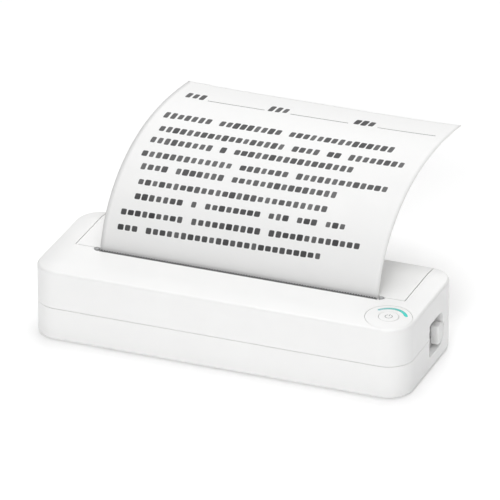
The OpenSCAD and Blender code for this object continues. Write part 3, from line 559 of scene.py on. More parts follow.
@dataclass(frozen=True)
class BarPlastic(Moulded):
    """Dark plastic of the tear bar, whose two round end posts are a paler grey.

    Attributes:
        posts: Colour of the end posts.
        reach: Distance from the middle beyond which the posts stand, in metres.
        border: Width of the change between the two, in metres.
    """

    posts: Rgb = (0.34, 0.345, 0.35)
    reach: float = 0.1054
    border: float = 0.0002

    def tone(self, b: Bench, wide: Socket) -> Socket:
        """Colours the plastic; the posts' colour begins where |x| is the reach.

        Args:
            b: The bench that the material is built on.
            wide: Wide, soft noise that the bar's colour drifts with.

        Returns:
            The colour.
        """
        x, _, _ = b.split(b.place())
        beyond = b.spread(b.math("ABSOLUTE", x), self.reach, self.reach + self.border)
        return b.blend(beyond, Moulded.tone(self, b, wide), self.posts)


@dataclass(frozen=True)
class Drawn(Finish):
    """Bare metal with the fine streaks of drawing, rolling or grinding along one axis.

    Attributes:
        colour: Colour of the metal.
        axis: Direction of the streaks.
        roughness: Middle of the roughness.
        streak: Width of a streak, in metres.
        depth: Depth of a streak, in metres.
        length: How many widths long a streak is.
        stains: Stains in a metre.
    """

    colour: Rgb
    axis: Axis
    roughness: float = 0.28
    streak: float = 0.00025
    depth: float = 0.000004
    length: float = 50.0
    stains: float = 120.0

    def wire(self, b: Bench) -> None:
        """Draws noise out along the axis, and darkens it where a second noise is high.

        Args:
            b: The bench that the material is built on.
        """
        along = [1.0 / self.streak] * 3
        along[self.axis.value] = 1.0 / self.length / self.streak
        lines = b.noise(b.place(along), scale=1.0, detail=3.0, roughness=0.6)
        stain = b.spread(b.noise(b.place(), self.stains, detail=3.0), 0.55, 0.8, 0.0, 0.35)
        tone = b.shades(b.vary(lines), self.colour, dark=0.88, light=1.08)
        b.set(Base_Color=b.blend(stain, tone, shade(self.colour, 0.78)), Metallic=1.0,
              Roughness=b.spread(lines, 0.25, 0.75, self.roughness - 0.08, self.roughness + 0.1),
              Normal=b.relief(lines, self.depth, strength=0.7))


@dataclass(frozen=True)
class Spangled(Finish):
    """Galvanised sheet steel with its zinc spangles.

    Attributes:
        colour: Colour of the zinc.
        spangle: Size of one spangle, in metres.
        roughness: Middle of the roughness.
        grains: Grains of the zinc in a metre.
        depth: Depth of a grain, in metres.
    """

    colour: Rgb
    spangle: float = 0.0045
    roughness: float = 0.38
    grains: float = 2200.0
    depth: float = 0.000004

    def wire(self, b: Bench) -> None:
        """Gives each cell of a cell pattern its own shade and gloss, under a fine grain.

        Args:
            b: The bench that the material is built on.
        """
        at = b.place()
        tone = b.split(b.cells(at, 1.0 / self.spangle, output="Color"))[0]
        b.set(Base_Color=b.shades(tone, self.colour, dark=0.86, light=1.07), Metallic=1.0,
              Roughness=b.spread(tone, 0.0, 1.0, self.roughness - 0.07, self.roughness + 0.1),
              Normal=b.relief(b.noise(at, self.grains, detail=2.0), self.depth, strength=0.5))


@dataclass(frozen=True)
class Rubbery(Finish):
    """Rubber: dark, matt, with ground or moulded grain and a dusty bloom.

    Attributes:
        colour: Colour of the rubber.
        roughness: Middle of the roughness.
        grain: Size of a grain, in metres.
        depth: Depth of a grain, in metres.
        blooms: Patches of bloom in a metre.
        swing: How far the roughness goes from its middle.
    """

    colour: Rgb
    roughness: float = 0.7
    grain: float = 0.0003
    depth: float = 0.00001
    blooms: float = 140.0
    swing: float = 0.08

    def wire(self, b: Bench) -> None:
        """Lays the bloom over the rubber, paler and with its own gloss.

        Args:
            b: The bench that the material is built on.
        """
        at = b.place()
        bloom = b.noise(at, self.blooms, detail=4.0, roughness=0.65)
        b.set(Base_Color=b.blend(b.spread(bloom, 0.45, 0.8, 0.0, 0.5), self.colour, shade(self.colour, 1.7)),
              Roughness=b.vary(bloom, self.roughness - self.swing, self.roughness + self.swing),
              IOR=1.5, Normal=b.relief(b.noise(at, 1.0 / self.grain, detail=2.0), self.depth, strength=0.8))


@dataclass(frozen=True)
class Laminate(Finish):
    """Printed circuit board: green solder mask, copper tracks under it and tinned vias.

    Attributes:
        mask: Colour of the mask over bare laminate.
        track: Colour of the mask over copper.
        level: Height of the board's middle, where its edge shows raw laminate.
        thick: Thickness of the board.
        pitch: Distance between two tracks, in metres.
        blocks: Blocks of tracks in a metre.
        vias: Vias in a metre.
        tin: Colour of the vias.
        raw: Colour of the edge.
    """

    mask: Rgb
    track: Rgb
    level: float
    thick: float = 0.0016
    pitch: float = 0.0009
    blocks: float = 260.0
    vias: float = 330.0
    tin: Rgb = (0.72, 0.70, 0.64)
    raw: Rgb = (0.42, 0.40, 0.22)

    def wire(self, b: Bench) -> None:
        """Runs tracks along X or Y in each square block; each cell of a second pattern has a via.

        Args:
            b: The bench that the material is built on.
        """
        at = b.place()
        x, y, z = b.split(at)
        pick = b.cells(at, self.blocks, metric="CHEBYCHEV", output="Color")
        way = b.spread(b.split(pick)[0], 0.49, 0.51)
        run = b.math("ADD", b.math("MULTIPLY", x, way), b.math("MULTIPLY", y, b.others(way)))
        lines = b.spread(b.math("PINGPONG", run, self.pitch / 2), self.pitch * 0.2, self.pitch * 0.8 / 3)
        present = b.spread(b.split(pick)[1], 0.3, 0.34)
        copper = b.math("MULTIPLY", lines, present)
        via = b.spread(b.cells(at, self.vias), 0.11, 0.13, 1.0, 0.0)
        face = b.blend(via, b.blend(copper, self.mask, self.track), self.tin)
        half = self.thick * 0.47
        edge = b.within(z, self.level - half, self.level + half, self.thick * 0.01)
        b.set(Base_Color=b.blend(edge, face, self.raw), Metallic=b.math("MULTIPLY", via, b.others(edge)),
              Roughness=b.spread(edge, 0.0, 1.0, 0.26, 0.7),
              Normal=b.relief(b.math("MAXIMUM", copper, via), depth=0.00003, strength=0.7))


@dataclass(frozen=True)
class Package(Finish):
    """Black epoxy chip packages with a faint mould grain.

    Attributes:
        colour: Colour of the epoxy.
        clouds: Clouds of colour in a metre.
        grains: Grains in a metre.
        depth: Depth of a grain, in metres.
    """

    colour: Rgb = (0.025, 0.025, 0.028)
    clouds: float = 900.0
    grains: float = 6000.0
    depth: float = 0.000005

    def wire(self, b: Bench) -> None:
        """Clouds the epoxy and lays the grain.

        Args:
            b: The bench that the material is built on.
        """
        at = b.place()
        b.set(Base_Color=b.shades(b.noise(at, self.clouds, detail=3.0), self.colour, dark=0.7, light=1.6),
              Roughness=b.vary(b.noise(at, scale=500.0), 0.42, 0.62),
              Normal=b.relief(b.noise(at, self.grains), self.depth, strength=0.6))


@dataclass(frozen=True)
class Capacitor(Finish):
    """Sleeved aluminium cans: plain dark sleeve, pale polarity stripe, bare top.

    Attributes:
        sleeve: Colour of the sleeve.
        top: Height of the bare top, in metres.
        stripe: Colour of the stripe.
        behind: Place along Y behind which the stripe lies, in metres.
        bare: Colour of the top.
        fold: Height of the sleeve's edge below the top, in metres.
        border: Width of the changes of colour, in metres.
    """

    sleeve: Rgb
    top: float
    stripe: Rgb = (0.62, 0.64, 0.66)
    behind: float = -0.0355
    bare: Rgb = (0.78, 0.79, 0.80)
    fold: float = 0.0004
    border: float = 0.0001

    def wire(self, b: Bench) -> None:
        """Parts the cans by height and depth into top, stripe and sleeve.

        Args:
            b: The bench that the material is built on.
        """
        _, y, z = b.split(b.place())
        edge = self.top - self.fold
        bare = b.spread(z, edge, edge + self.border)
        stripe = b.spread(y, self.behind, self.behind + self.border)
        b.set(Base_Color=b.blend(bare, b.blend(stripe, self.sleeve, self.stripe), self.bare), Metallic=bare,
              Roughness=b.spread(bare, 0.0, 1.0, 0.32, 0.24),
              Normal=b.relief(b.noise(b.place(), scale=1500.0), depth=0.000006, strength=0.5))


@dataclass(frozen=True)
class Sleeved(Finish):
    """Battery cells in shrink sleeve, with bare steel at their ends.

    Attributes:
        sleeve: Colour of the sleeve.
        ends: Places along X, in metres, near which the bare steel shows.
        steel: Colour of the steel.
        rim: How near the steel shows, in metres.
        border: Half the width of its soft edge, in metres.
    """

    sleeve: Rgb
    ends: tuple[float, ...]
    steel: Rgb = (0.70, 0.70, 0.69)
    rim: float = 0.0003
    border: float = 0.00005

    def wire(self, b: Bench) -> None:
        """Lays creases that run along X under the gloss, and bares the steel at each end.

        Args:
            b: The bench that the material is built on.
        """
        at = b.place()
        x, _, _ = b.split(at)
        creases = b.noise(b.place(scale=(60.0, 900.0, 900.0)), scale=1.0, detail=2.0)
        wide = b.noise(at, scale=90.0)
        bare: Feed = 0.0
        for end in self.ends:
            near = b.within(x, end - self.rim, end + self.rim, self.border)
            bare = b.math("ADD", bare, near, clamp=True)
        film = b.shades(wide, self.sleeve, dark=0.88, light=1.12)
        b.set(Base_Color=b.blend(bare, film, self.steel), Metallic=bare,
              Roughness=b.vary(wide, 0.22, 0.34), Coat_Weight=0.3, Coat_Roughness=0.1,
              Normal=b.relief(creases, depth=0.00002, strength=0.5))


@dataclass(frozen=True)
class HeaterStrip(Finish):
    """Glazed alumina strip with the dark line of heating dots and gold conductors.

    Attributes:
        line: Height of the heating line, in metres.
        pitch: Distance between two conductors, in metres.
        below: How far the conductors go down from the line, in metres.
        above: How far they go up, in metres.
        half: Half the height of the line, in metres.
        glaze: Darker and lighter colour of the glaze.
        gold: Colour of the conductors.
        dots: Colour of the line.
    """

    line: float
    pitch: float = 0.0005
    below: float = 0.0030
    above: float = 0.0010
    half: float = 0.00022
    glaze: tuple[Rgb, Rgb] = ((0.80, 0.77, 0.68), (0.90, 0.88, 0.82))
    gold: Rgb = (0.80, 0.62, 0.30)
    dots: Rgb = (0.10, 0.07, 0.05)

    def wire(self, b: Bench) -> None:
        """Combs the conductors along X within their reach, and lays the line over them.

        Args:
            b: The bench that the material is built on.
        """
        at = b.place()
        x, _, z = b.split(at)
        ground = b.blend(b.noise(at, scale=700.0, detail=3.0), *self.glaze)
        comb = b.spread(b.math("PINGPONG", x, self.pitch / 2), self.pitch * 0.2, self.pitch * 0.26)
        reach = b.within(z, self.line - self.below, self.line + self.above, edge=0.0001)
        gold = b.math("MULTIPLY", comb, reach)
        dots = b.within(z, self.line - self.half, self.line + self.half, edge=0.00004)
        b.set(Base_Color=b.blend(dots, b.blend(gold, ground, self.gold), self.dots),
              Metallic=b.math("MULTIPLY", gold, 0.9), Roughness=0.12, Coat_Weight=0.6, Coat_Roughness=0.05,
              Normal=b.relief(b.math("ADD", gold, dots, clamp=True), depth=0.00001, strength=0.5))


@dataclass(frozen=True)
class Card(Finish):
    """Spiral-wound grey-brown cardboard with its fibres and winding seam.

    Attributes:
        colour: Colour of the board.
        strip: Width of the strip that it is wound from, in metres.
        slant: Run of the seam along X for its rise along Z.
        seam: Half the width of the seam, in metres.
    """

    colour: Rgb
    strip: float = 0.032
    slant: float = 0.6
    seam: float = 0.0004

    def wire(self, b: Bench) -> None:
        """Draws fibres out along X; the seam lies where x + slant z is a whole strip.

        Args:
            b: The bench that the material is built on.
        """
        at = b.place()
        x, _, z = b.split(at)
        drawn_out = b.place(scale=(400.0, 2600.0, 2600.0))
        fibres = b.noise(drawn_out, scale=1.0, detail=4.0, roughness=0.7, warp=0.6)
        stain = b.vary(b.noise(at, scale=60.0), 0.0, 0.25)
        run = b.math("ADD", x, b.math("MULTIPLY", z, self.slant))
        seam = b.spread(b.math("PINGPONG", run, self.strip / 2), 0.0, self.seam, 1.0, 0.0)
        tone = b.blend(stain, b.shades(fibres, self.colour, dark=0.75, light=1.2), shade(self.colour, 0.8))
        b.set(Base_Color=b.blend(seam, tone, shade(self.colour, 0.5)), Roughness=0.88,
              Normal=b.relief(b.math("SUBTRACT", fibres, seam), depth=0.00004, strength=0.8))


@dataclass(frozen=True)
class LightPipe(Finish):
    """Translucent lens that glows from pale at its left end to full turquoise at its right.

    Attributes:
        centre: Middle of the panel, which the lens goes round, in metres.
        pale: Colour of the dim end.
        middle: Colour half way.
        full: Colour of the bright end.
        first: Angle of the bright end about the panel, in degrees.
        last: Angle of the dim end about the panel, in degrees.
        hold: Share of the arc that is all in the full colour.
        half: Share of the arc at which the middle colour lies.
        glow: Strength of its own light.
    """

    centre: tuple[float, float]
    pale: Rgb = (0.26, 0.50, 0.52)
    middle: Rgb = (0.07, 0.47, 0.42)
    full: Rgb = (0.005, 0.54, 0.48)
    first: float = 28.0
    last: float = 143.0
    hold: float = 0.12
    half: float = 0.4
    glow: float = 0.14

    def wire(self, b: Bench) -> None:
        """Picks the colour by the angle about the panel's middle.

        Args:
            b: The bench that the material is built on.
        """
        x, y, _ = b.split(b.place(centre=(*self.centre, 0.0)))
        share = b.spread(b.math("ARCTAN2", y, x), math.radians(self.first), math.radians(self.last))
        stops = [(0.0, self.full), (self.hold, self.full), (self.half, self.middle), (1.0, self.pale)]
        colour = b.ramp(share, stops)
        b.set(Base_Color=colour, Roughness=0.22, IOR=1.49, Coat_Weight=0.4, Coat_Roughness=0.08,
              Emission_Color=colour, Emission_Strength=self.glow,
              Normal=b.relief(b.noise(b.place(), scale=4000.0), depth=0.000003, strength=0.5))


@dataclass(frozen=True)
class KeyCap(Finish):
    """White key with a pale grey power mark: a broken ring and a short bar in its gap.

    Attributes:
        centre: Middle of the key, in metres.
        colour: Colour of the key.
        ink: Colour of the mark.
        ring: Radius of the ring's middle line, in metres.
        stroke: Width of the strokes, in metres.
        gap: Half the width of the gap, in metres.
        bar: Start and end of the bar, as shares of the ring's radius.
        edge: Half the width of the mark's soft edges, in metres.
    """

    centre: tuple[float, float]
    colour: Rgb
    ink: Rgb = (0.24, 0.245, 0.25)
    ring: float = 0.0025
    stroke: float = 0.00055
    gap: float = 0.0011
    bar: tuple[float, float] = (0.25, 1.35)
    edge: float = 0.00006

    def wire(self, b: Bench) -> None:
        """Draws the ring by the distance from the middle, opens it at the rear, adds the bar.

        Args:
            b: The bench that the material is built on.
        """
        at = b.place()
        x, y, _ = b.split(b.place(centre=(*self.centre, 0.0)))
        half = self.stroke / 2
        side = b.math("ABSOLUTE", x)
        ring = b.within(b.radius(x, y), self.ring - half, self.ring + half, self.edge)
        opening = b.math("MULTIPLY", b.below(side, self.gap, self.edge), b.spread(y, 0.0, 0.0001))
        ring = b.math("MULTIPLY", ring, b.others(opening))
        start, end = self.bar
        length = b.within(y, self.ring * start, self.ring * end, self.edge)
        bar = b.math("MULTIPLY", b.below(side, half, self.edge), length)
        face = b.shades(b.noise(at, PLASTIC_WAVES, detail=2.0), self.colour, dark=0.98, light=1.02)
        b.set(Base_Color=b.blend(b.math("MAXIMUM", ring, bar), face, self.ink),
              Roughness=b.vary(b.noise(at, scale=240.0), 0.28, 0.36), IOR=PLASTIC_IOR,
              Normal=b.relief(b.noise(at, scale=2900.0, detail=2.0), depth=0.000005, strength=0.8))


@dataclass(frozen=True)
class Row:
    """One printed row, or one label.

    Attributes:
        height: Its height in the print, in metres.
        start: Where it starts, in metres from the sheet's left edge.
        end: Where it ends.
        half: Half the height of its blocks, in metres.
        blanks: Share of its cells that are blank; below 0 for none.
    """

    height: float
    start: float
    end: float
    half: float
    blanks: float = 0.08


@dataclass(frozen=True)
class Rule:
    """One ruled line.

    Attributes:
        height: Its height in the print, in metres.
        start: Where it starts, in metres from the sheet's left edge.
        end: Where it ends.
    """

    height: float
    start: float
    end: float


@dataclass(frozen=True)
class ThermalPaper(Finish):
    """Coated thermal paper with rows of plain grey blocks that stand for print, and painted shade near the
    slot that gives way to painted light towards the free end.

    The sheet's flat places are (across, along) in metres, from its left edge and from
    the slot. Each row is a band of cells; a cell is a rounded block, or blank where its
    random number is low. Ruled lines stand above the rows. The whole print is turned a
    little, so a place's height in the print is along - tilt * across.

    Attributes:
        paper: Colour of the coated face near the slot, darkened there as painted shade.
        painted_light_tail: Colour towards the free end, made lighter there as painted light.
        rows: The printed rows.
        rules: The ruled lines.
        ink: Colour of the blocks.
        cell: Pitch of the cells, in metres.
        widths: Least and greatest half width of a block, as shares of a cell.
        low: Half height of the lowest blocks, as a share of their row's.
        power: Power of a block's rounded form; 2 would be an ellipse.
        tones: Weakest and strongest ink of the blocks.
        rule: Half the thickness of a ruled line, in metres.
        rule_tone: Ink of the ruled lines.
        border: Width of the ruled lines' soft edges, in metres.
        tilt: Rise of the print across the sheet, as a share.
        painted_shade_span: Where along the sheet the painted shade near the slot begins and ends to give way
            to the painted light, in metres.
    """

    paper: Rgb
    painted_light_tail: Rgb
    rows: tuple[Row, ...] = ()
    rules: tuple[Rule, ...] = ()
    ink: Rgb = (0.012, 0.012, 0.014)
    cell: float = 0.0053
    widths: tuple[float, float] = (0.31, 0.43)
    low: float = 0.76
    power: float = 5.0
    tones: tuple[float, float] = (0.9, 1.0)
    rule: float = 0.0004
    rule_tone: float = 0.85
    border: float = 0.0001
    tilt: float = 0.0215
    painted_shade_span: tuple[float, float] = (0.06, 0.15)

    def wire(self, b: Bench) -> None:
        """Paints shade near the slot and light towards the free end, clouds the paper, lays its fibres and
        prints on it.

        Args:
            b: The bench that the material is built on.
        """
        at = b.place()
        fibres = b.noise(at, scale=900.0, detail=4.0, roughness=0.7, warp=0.3)
        cloud = b.noise(at, scale=45.0, detail=3.0)
        _, along, _ = b.split(b.flat())
        # Painted shade: the paper is darker near the slot and lighter, as painted light, towards the free
        # end.
        colour = b.blend(b.spread(along, *self.painted_shade_span, soft=True), self.paper, self.painted_light_tail)
        colour = b.blend(b.vary(cloud, 0.0, 0.02), colour, shade(self.paper, 0.5))
        colour = b.blend(b.spread(fibres, 0.3, 0.8, 0.0, 0.04), colour, shade(self.paper, 0.8))
        if self.rows:
            colour = b.blend(self.print_mask(b), colour, self.ink)
        b.set(Base_Color=colour, Roughness=b.vary(cloud, 0.42, 0.52), IOR=1.5,
              Normal=b.relief(fibres, depth=0.000012, strength=0.5))

    def print_mask(self, b: Bench) -> Socket:
        """Works out where the print lies, faintly banded as the head's lines are.

        Args:
            b: The bench that the material is built on.

        Returns:
            A socket that is 1 on ink.
        """
        across, along, _ = b.split(b.flat())
        height = b.math("SUBTRACT", along, b.math("MULTIPLY", across, self.tilt))
        total: Feed = 0.0
        for index, row in enumerate(self.rows):
            total = b.math("MAXIMUM", total, self.row_mask(b, index, row, across, height))
        for rule in self.rules:
            off = b.apart(height, rule.height)
            level = b.spread(off, self.rule, self.rule + self.border, self.rule_tone, 0.0)
            span = b.within(across, rule.start, rule.end, self.border)
            total = b.math("MAXIMUM", total, b.math("MULTIPLY", span, level))
        bands = b.noise(b.join(0.0, along), scale=2600.0, detail=1.0)
        return b.math("MULTIPLY", total, b.vary(bands, 0.95, 1.0))

    def row_mask(self, b: Bench, index: int, row: Row, across: Socket, height: Socket) -> Socket:
        """Works out where one row's blocks lie.

        A block covers the places where (aside / width)^power + (off / half)^power is
        under 1, for aside and off the distances from its middle.

        Args:
            b: The bench that the material is built on.
            index: The row's number, which its random numbers follow.
            row: The row.
            across: Place across the sheet.
            height: Height in the print.

        Returns:
            A socket that is 1 on the blocks.
        """
        place = b.math("DIVIDE", b.math("SUBTRACT", across, row.start), self.cell)
        column = b.math("FLOOR", place)
        aside = b.apart(b.math("SUBTRACT", place, column), 0.5)
        number = b.dice(b.join(column, float(index)))
        other = b.dice(b.join(column, index + SECOND_DICE))
        wide = b.math("DIVIDE", aside, b.spread(other, 0.0, 1.0, *self.widths))
        off = b.apart(height, row.height)
        tall = b.math("DIVIDE", off, b.spread(number, 0.0, 1.0, self.low * row.half, row.half))
        form = b.math("ADD", b.math("POWER", wide, self.power), b.math("POWER", tall, self.power))
        block = b.spread(form, 0.75, 1.25, 1.0, 0.0)
        count = round((row.end - row.start) / self.cell)
        span = b.within(column, low=-0.5, high=count - 0.5, edge=0.1)
        shown = b.math("GREATER_THAN", number, row.blanks)
        tone = b.spread(other, 0.0, 1.0, *self.tones)
        return b.math("MULTIPLY", b.math("MULTIPLY", block, span), b.math("MULTIPLY", shown, tone))


@dataclass(frozen=True)
class WoundPaper(Finish):
    """Side and ends of a paper roll; its ends show the edges of the turns.

    Attributes:
        colour: Colour of the paper.
        centre: (y, z) of the roll's axis, in metres.
        reach: Distance from the middle at which the end faces stand, in metres.
        pitch: Distance between two turns, in metres.
        edge: How far inside the reach the look of the ends begins, and is full.
    """

    colour: Rgb
    centre: tuple[float, float]
    reach: float
    pitch: float = 0.00022
    edge: tuple[float, float] = (0.0006, 0.0004)

    def wire(self, b: Bench) -> None:
        """Counts turns by radius and angle: radius / pitch + angle / 360 degrees.

        Args:
            b: The bench that the material is built on.
        """
        x, y, z = b.split(b.place(centre=(0.0, *self.centre)))
        turn = b.math("DIVIDE", b.math("ARCTAN2", z, y), 2 * math.pi)
        turns = b.math("ADD", b.math("DIVIDE", b.radius(y, z), self.pitch), turn)
        edges = b.math("PINGPONG", turns, 0.5)
        groups = b.vary(b.noise(b.join(turns), scale=0.23, detail=3.0), 0.35, 0.0)
        begin, full = self.edge
        ends = b.spread(b.math("ABSOLUTE", x), self.reach - begin, self.reach - full)
        shown = b.math("MULTIPLY", ends, b.spread(edges, 0.05, 0.4, 0.5, 0.0))
        tone = b.blend(b.math("MULTIPLY", groups, ends), self.colour, shade(self.colour, 0.72))
        b.set(Base_Color=b.blend(shown, tone, shade(self.colour, 0.62)),
              Roughness=b.spread(ends, 0.0, 1.0, 0.45, 0.85),
              Normal=b.relief(b.math("MULTIPLY", edges, ends), depth=0.00003, strength=0.7))


# ---------------------------------------------------------------- sub-assemblies


def box_of(node: str) -> tuple[np.ndarray, np.ndarray]:
    """Gives the lowest and highest corner of a frame part, in metres."""
    low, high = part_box(node)
    return np.array(low), np.array(high)


@dataclass
class Assembly:
    """Parts that are dressed together.

    Attributes:
        made: Names of the pieces that this script added.
        dressed: Names of the frame parts that took a finish.
    """

    made: list[str] = field(default_factory=list)
    dressed: list[str] = field(default_factory=list)

    def dress(self, finish: Finish, *nodes: str) -> None:
        """Gives frame parts one finish.

        Args:
            finish: The finish.
            *nodes: Names of the parts.
        """
        material = finish.material()
        for node in nodes:
            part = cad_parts[node]
            if not part.material_slots:
                part.data.materials.append(material)
            for place in part.material_slots:
                place.material = material
            self.dressed.append(node)

    def keep(self, piece: bpy.types.Object, body: Body, *finishes: Finish) -> bpy.types.Object:
        """Puts a new piece on its body and gives it its materials.

        Args:
            piece: The piece.
            body: The body it rides on.
            *finishes: Finishes in the order of the mesh's slots.

        Returns:
            The piece.
        """
        for finish in finishes:
            piece.data.materials.append(finish.material())
        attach(piece, body.value)
        self.made.append(piece.name)
        return piece

    def report(self) -> None:
        """Logs what was made and dressed."""
        LOG.info("%s: made %s; dressed %s", type(self).__name__, self.made or "nothing", self.dressed)


@dataclass
class Housing(Assembly):
    """The two halves of the housing, the rear cover and what they stand and turn on."""

    def build(self) -> None:
        """Dresses the mouldings, the feet, all screws, the pins and the tear bar."""
        self.dress(Moulded("shell_white", WHITE, roughness=0.31, sheen=0.3),
                   "base_shell", "top_shell", "rear_cover")
        self.dress(Rubbery("foot_rubber", (0.035, 0.035, 0.038), roughness=0.72), "rubber_feet")
        self.dress(Drawn("zinc_steel", (0.60, 0.61, 0.62), Axis.Z, roughness=0.3),
                   "case_screws", "liner_screws", "frame_screws", "board_screws")
        self.dress(Drawn("pin_steel", (0.62, 0.62, 0.63), Axis.X, roughness=0.22), "hinge_pins")
        self.dress(Moulded("inner_grey", (0.50, 0.51, 0.52), roughness=0.5, grain=0.0005, depth=0.000012),
                   "cover_liner", "cover_catch", "bracket_left", "bracket_right")
        self.dress(BarPlastic("bar_grey", (0.15, 0.152, 0.155), roughness=0.42), "tear_bar")


@dataclass
class Panel(Assembly):
    """The round control panel with its key, light and switch."""

    def build(self) -> None:
        """Dresses the panel's parts; key and light take their middle from the panel."""
        low, high = box_of("control_panel")
        middle = tuple(((low + high) / 2)[:2])
        self.dress(Moulded("panel_white", (0.86, 0.86, 0.855), roughness=0.3, depth=0.000004),
                   "control_panel")
        self.dress(KeyCap("key_white", middle, WHITE), "power_button")
        self.dress(LightPipe("light_turquoise", middle), "light_arc")
        self.dress(Moulded("switch_black", (0.03, 0.03, 0.033), roughness=0.45), "tact_switch")


@dataclass
class Latch(Assembly):
    """The sliding latch in the right end."""

    def build(self) -> None:
        """Dresses the latch's parts, and the head's springs, which are of the same steel."""
        self.dress(Moulded("knob_white", WHITE, roughness=0.34), "latch_knob")
        self.dress(Moulded("slide_grey", (0.55, 0.56, 0.57), roughness=0.42), "latch_slide", "latch_guide")
        self.dress(Drawn("spring_steel", (0.56, 0.56, 0.57), Axis.Y, roughness=0.3),
                   "latch_spring", "head_springs")


@dataclass
class Mechanism(Assembly):
    """Print head, platen, gears, motor and the sheet-metal frame that holds them.

    Attributes:
        platen_radius: Radius of the platen, at whose middle the heating line lies.
    """

    platen_radius: float = 0.006

    def build(self) -> None:
        """Dresses the mechanism."""
        line = box_of("platen_rubber")[0][2] + self.platen_radius
        self.dress(Spangled("frame_zinc", (0.58, 0.60, 0.61)), "mechanism_frame")
        self.dress(Drawn("ground_steel", (0.64, 0.64, 0.65), Axis.X, roughness=0.2, streak=0.0002),
                   "head_pivot", "gear_axle", "motor_shaft", "platen_shaft")
        self.dress(Drawn("sink_aluminium", (0.74, 0.75, 0.76), Axis.X, roughness=0.36, streak=0.0003),
                   "head_heatsink")
        self.dress(HeaterStrip("heater_strip", line), "head_strip")
        self.dress(Moulded("cover_black", (0.035, 0.035, 0.038), roughness=0.48), "head_driver_cover")
        self.dress(Moulded("guide_grey", (0.075, 0.078, 0.082), roughness=0.5), "paper_guide")
        self.dress(Drawn("motor_can", (0.55, 0.56, 0.57), Axis.X, roughness=0.33), "motor_case")
        self.dress(Drawn("pinion_brass", (0.74, 0.55, 0.24), Axis.X, roughness=0.26), "motor_pinion")
        self.dress(Drawn("bushing_bronze", (0.48, 0.33, 0.17), Axis.X, roughness=0.45), "platen_bushings")
        self.dress(Moulded("gear_acetal", (0.78, 0.76, 0.70), roughness=0.38, glow=0.15),
                   "reduction_gear", "platen_gear")
        self.dress(Rubbery("platen_rubber", (0.022, 0.022, 0.024), roughness=0.6, grain=0.00022),
                   "platen_rubber")


@dataclass
class Electronics(Assembly):
    """Boards, chips, battery and socket.

    Attributes:
        cell: Length of one battery cell, in metres.
    """

    cell: float = 0.065

    def build(self) -> None:
        """Dresses the electronics; the cells show bare steel at each of their four ends."""
        for board in ("main_board", "button_board"):
            low, high = box_of(board)
            level = float(low[2] + high[2]) / 2
            self.dress(Laminate(board + "_green", (0.012, 0.10, 0.045), (0.03, 0.22, 0.10), level), board)
        self.dress(Package("chip_black"), "processor_chip", "board_chips")
        top = float(box_of("board_capacitors")[1][2])
        self.dress(Capacitor("capacitor_sleeve", (0.05, 0.07, 0.14), top), "board_capacitors")
        self.dress(Moulded("nylon_cream", (0.70, 0.64, 0.48), roughness=0.5), "board_connectors")
        self.dress(Drawn("socket_nickel", (0.68, 0.67, 0.65), Axis.X, roughness=0.24), "usb_socket")
        left, right = (float(corner[0]) for corner in box_of("battery_cells"))
        ends = (left, left + self.cell, right - self.cell, right)
        self.dress(Sleeved("cell_sleeve", (0.05, 0.22, 0.42), ends), "battery_cells")


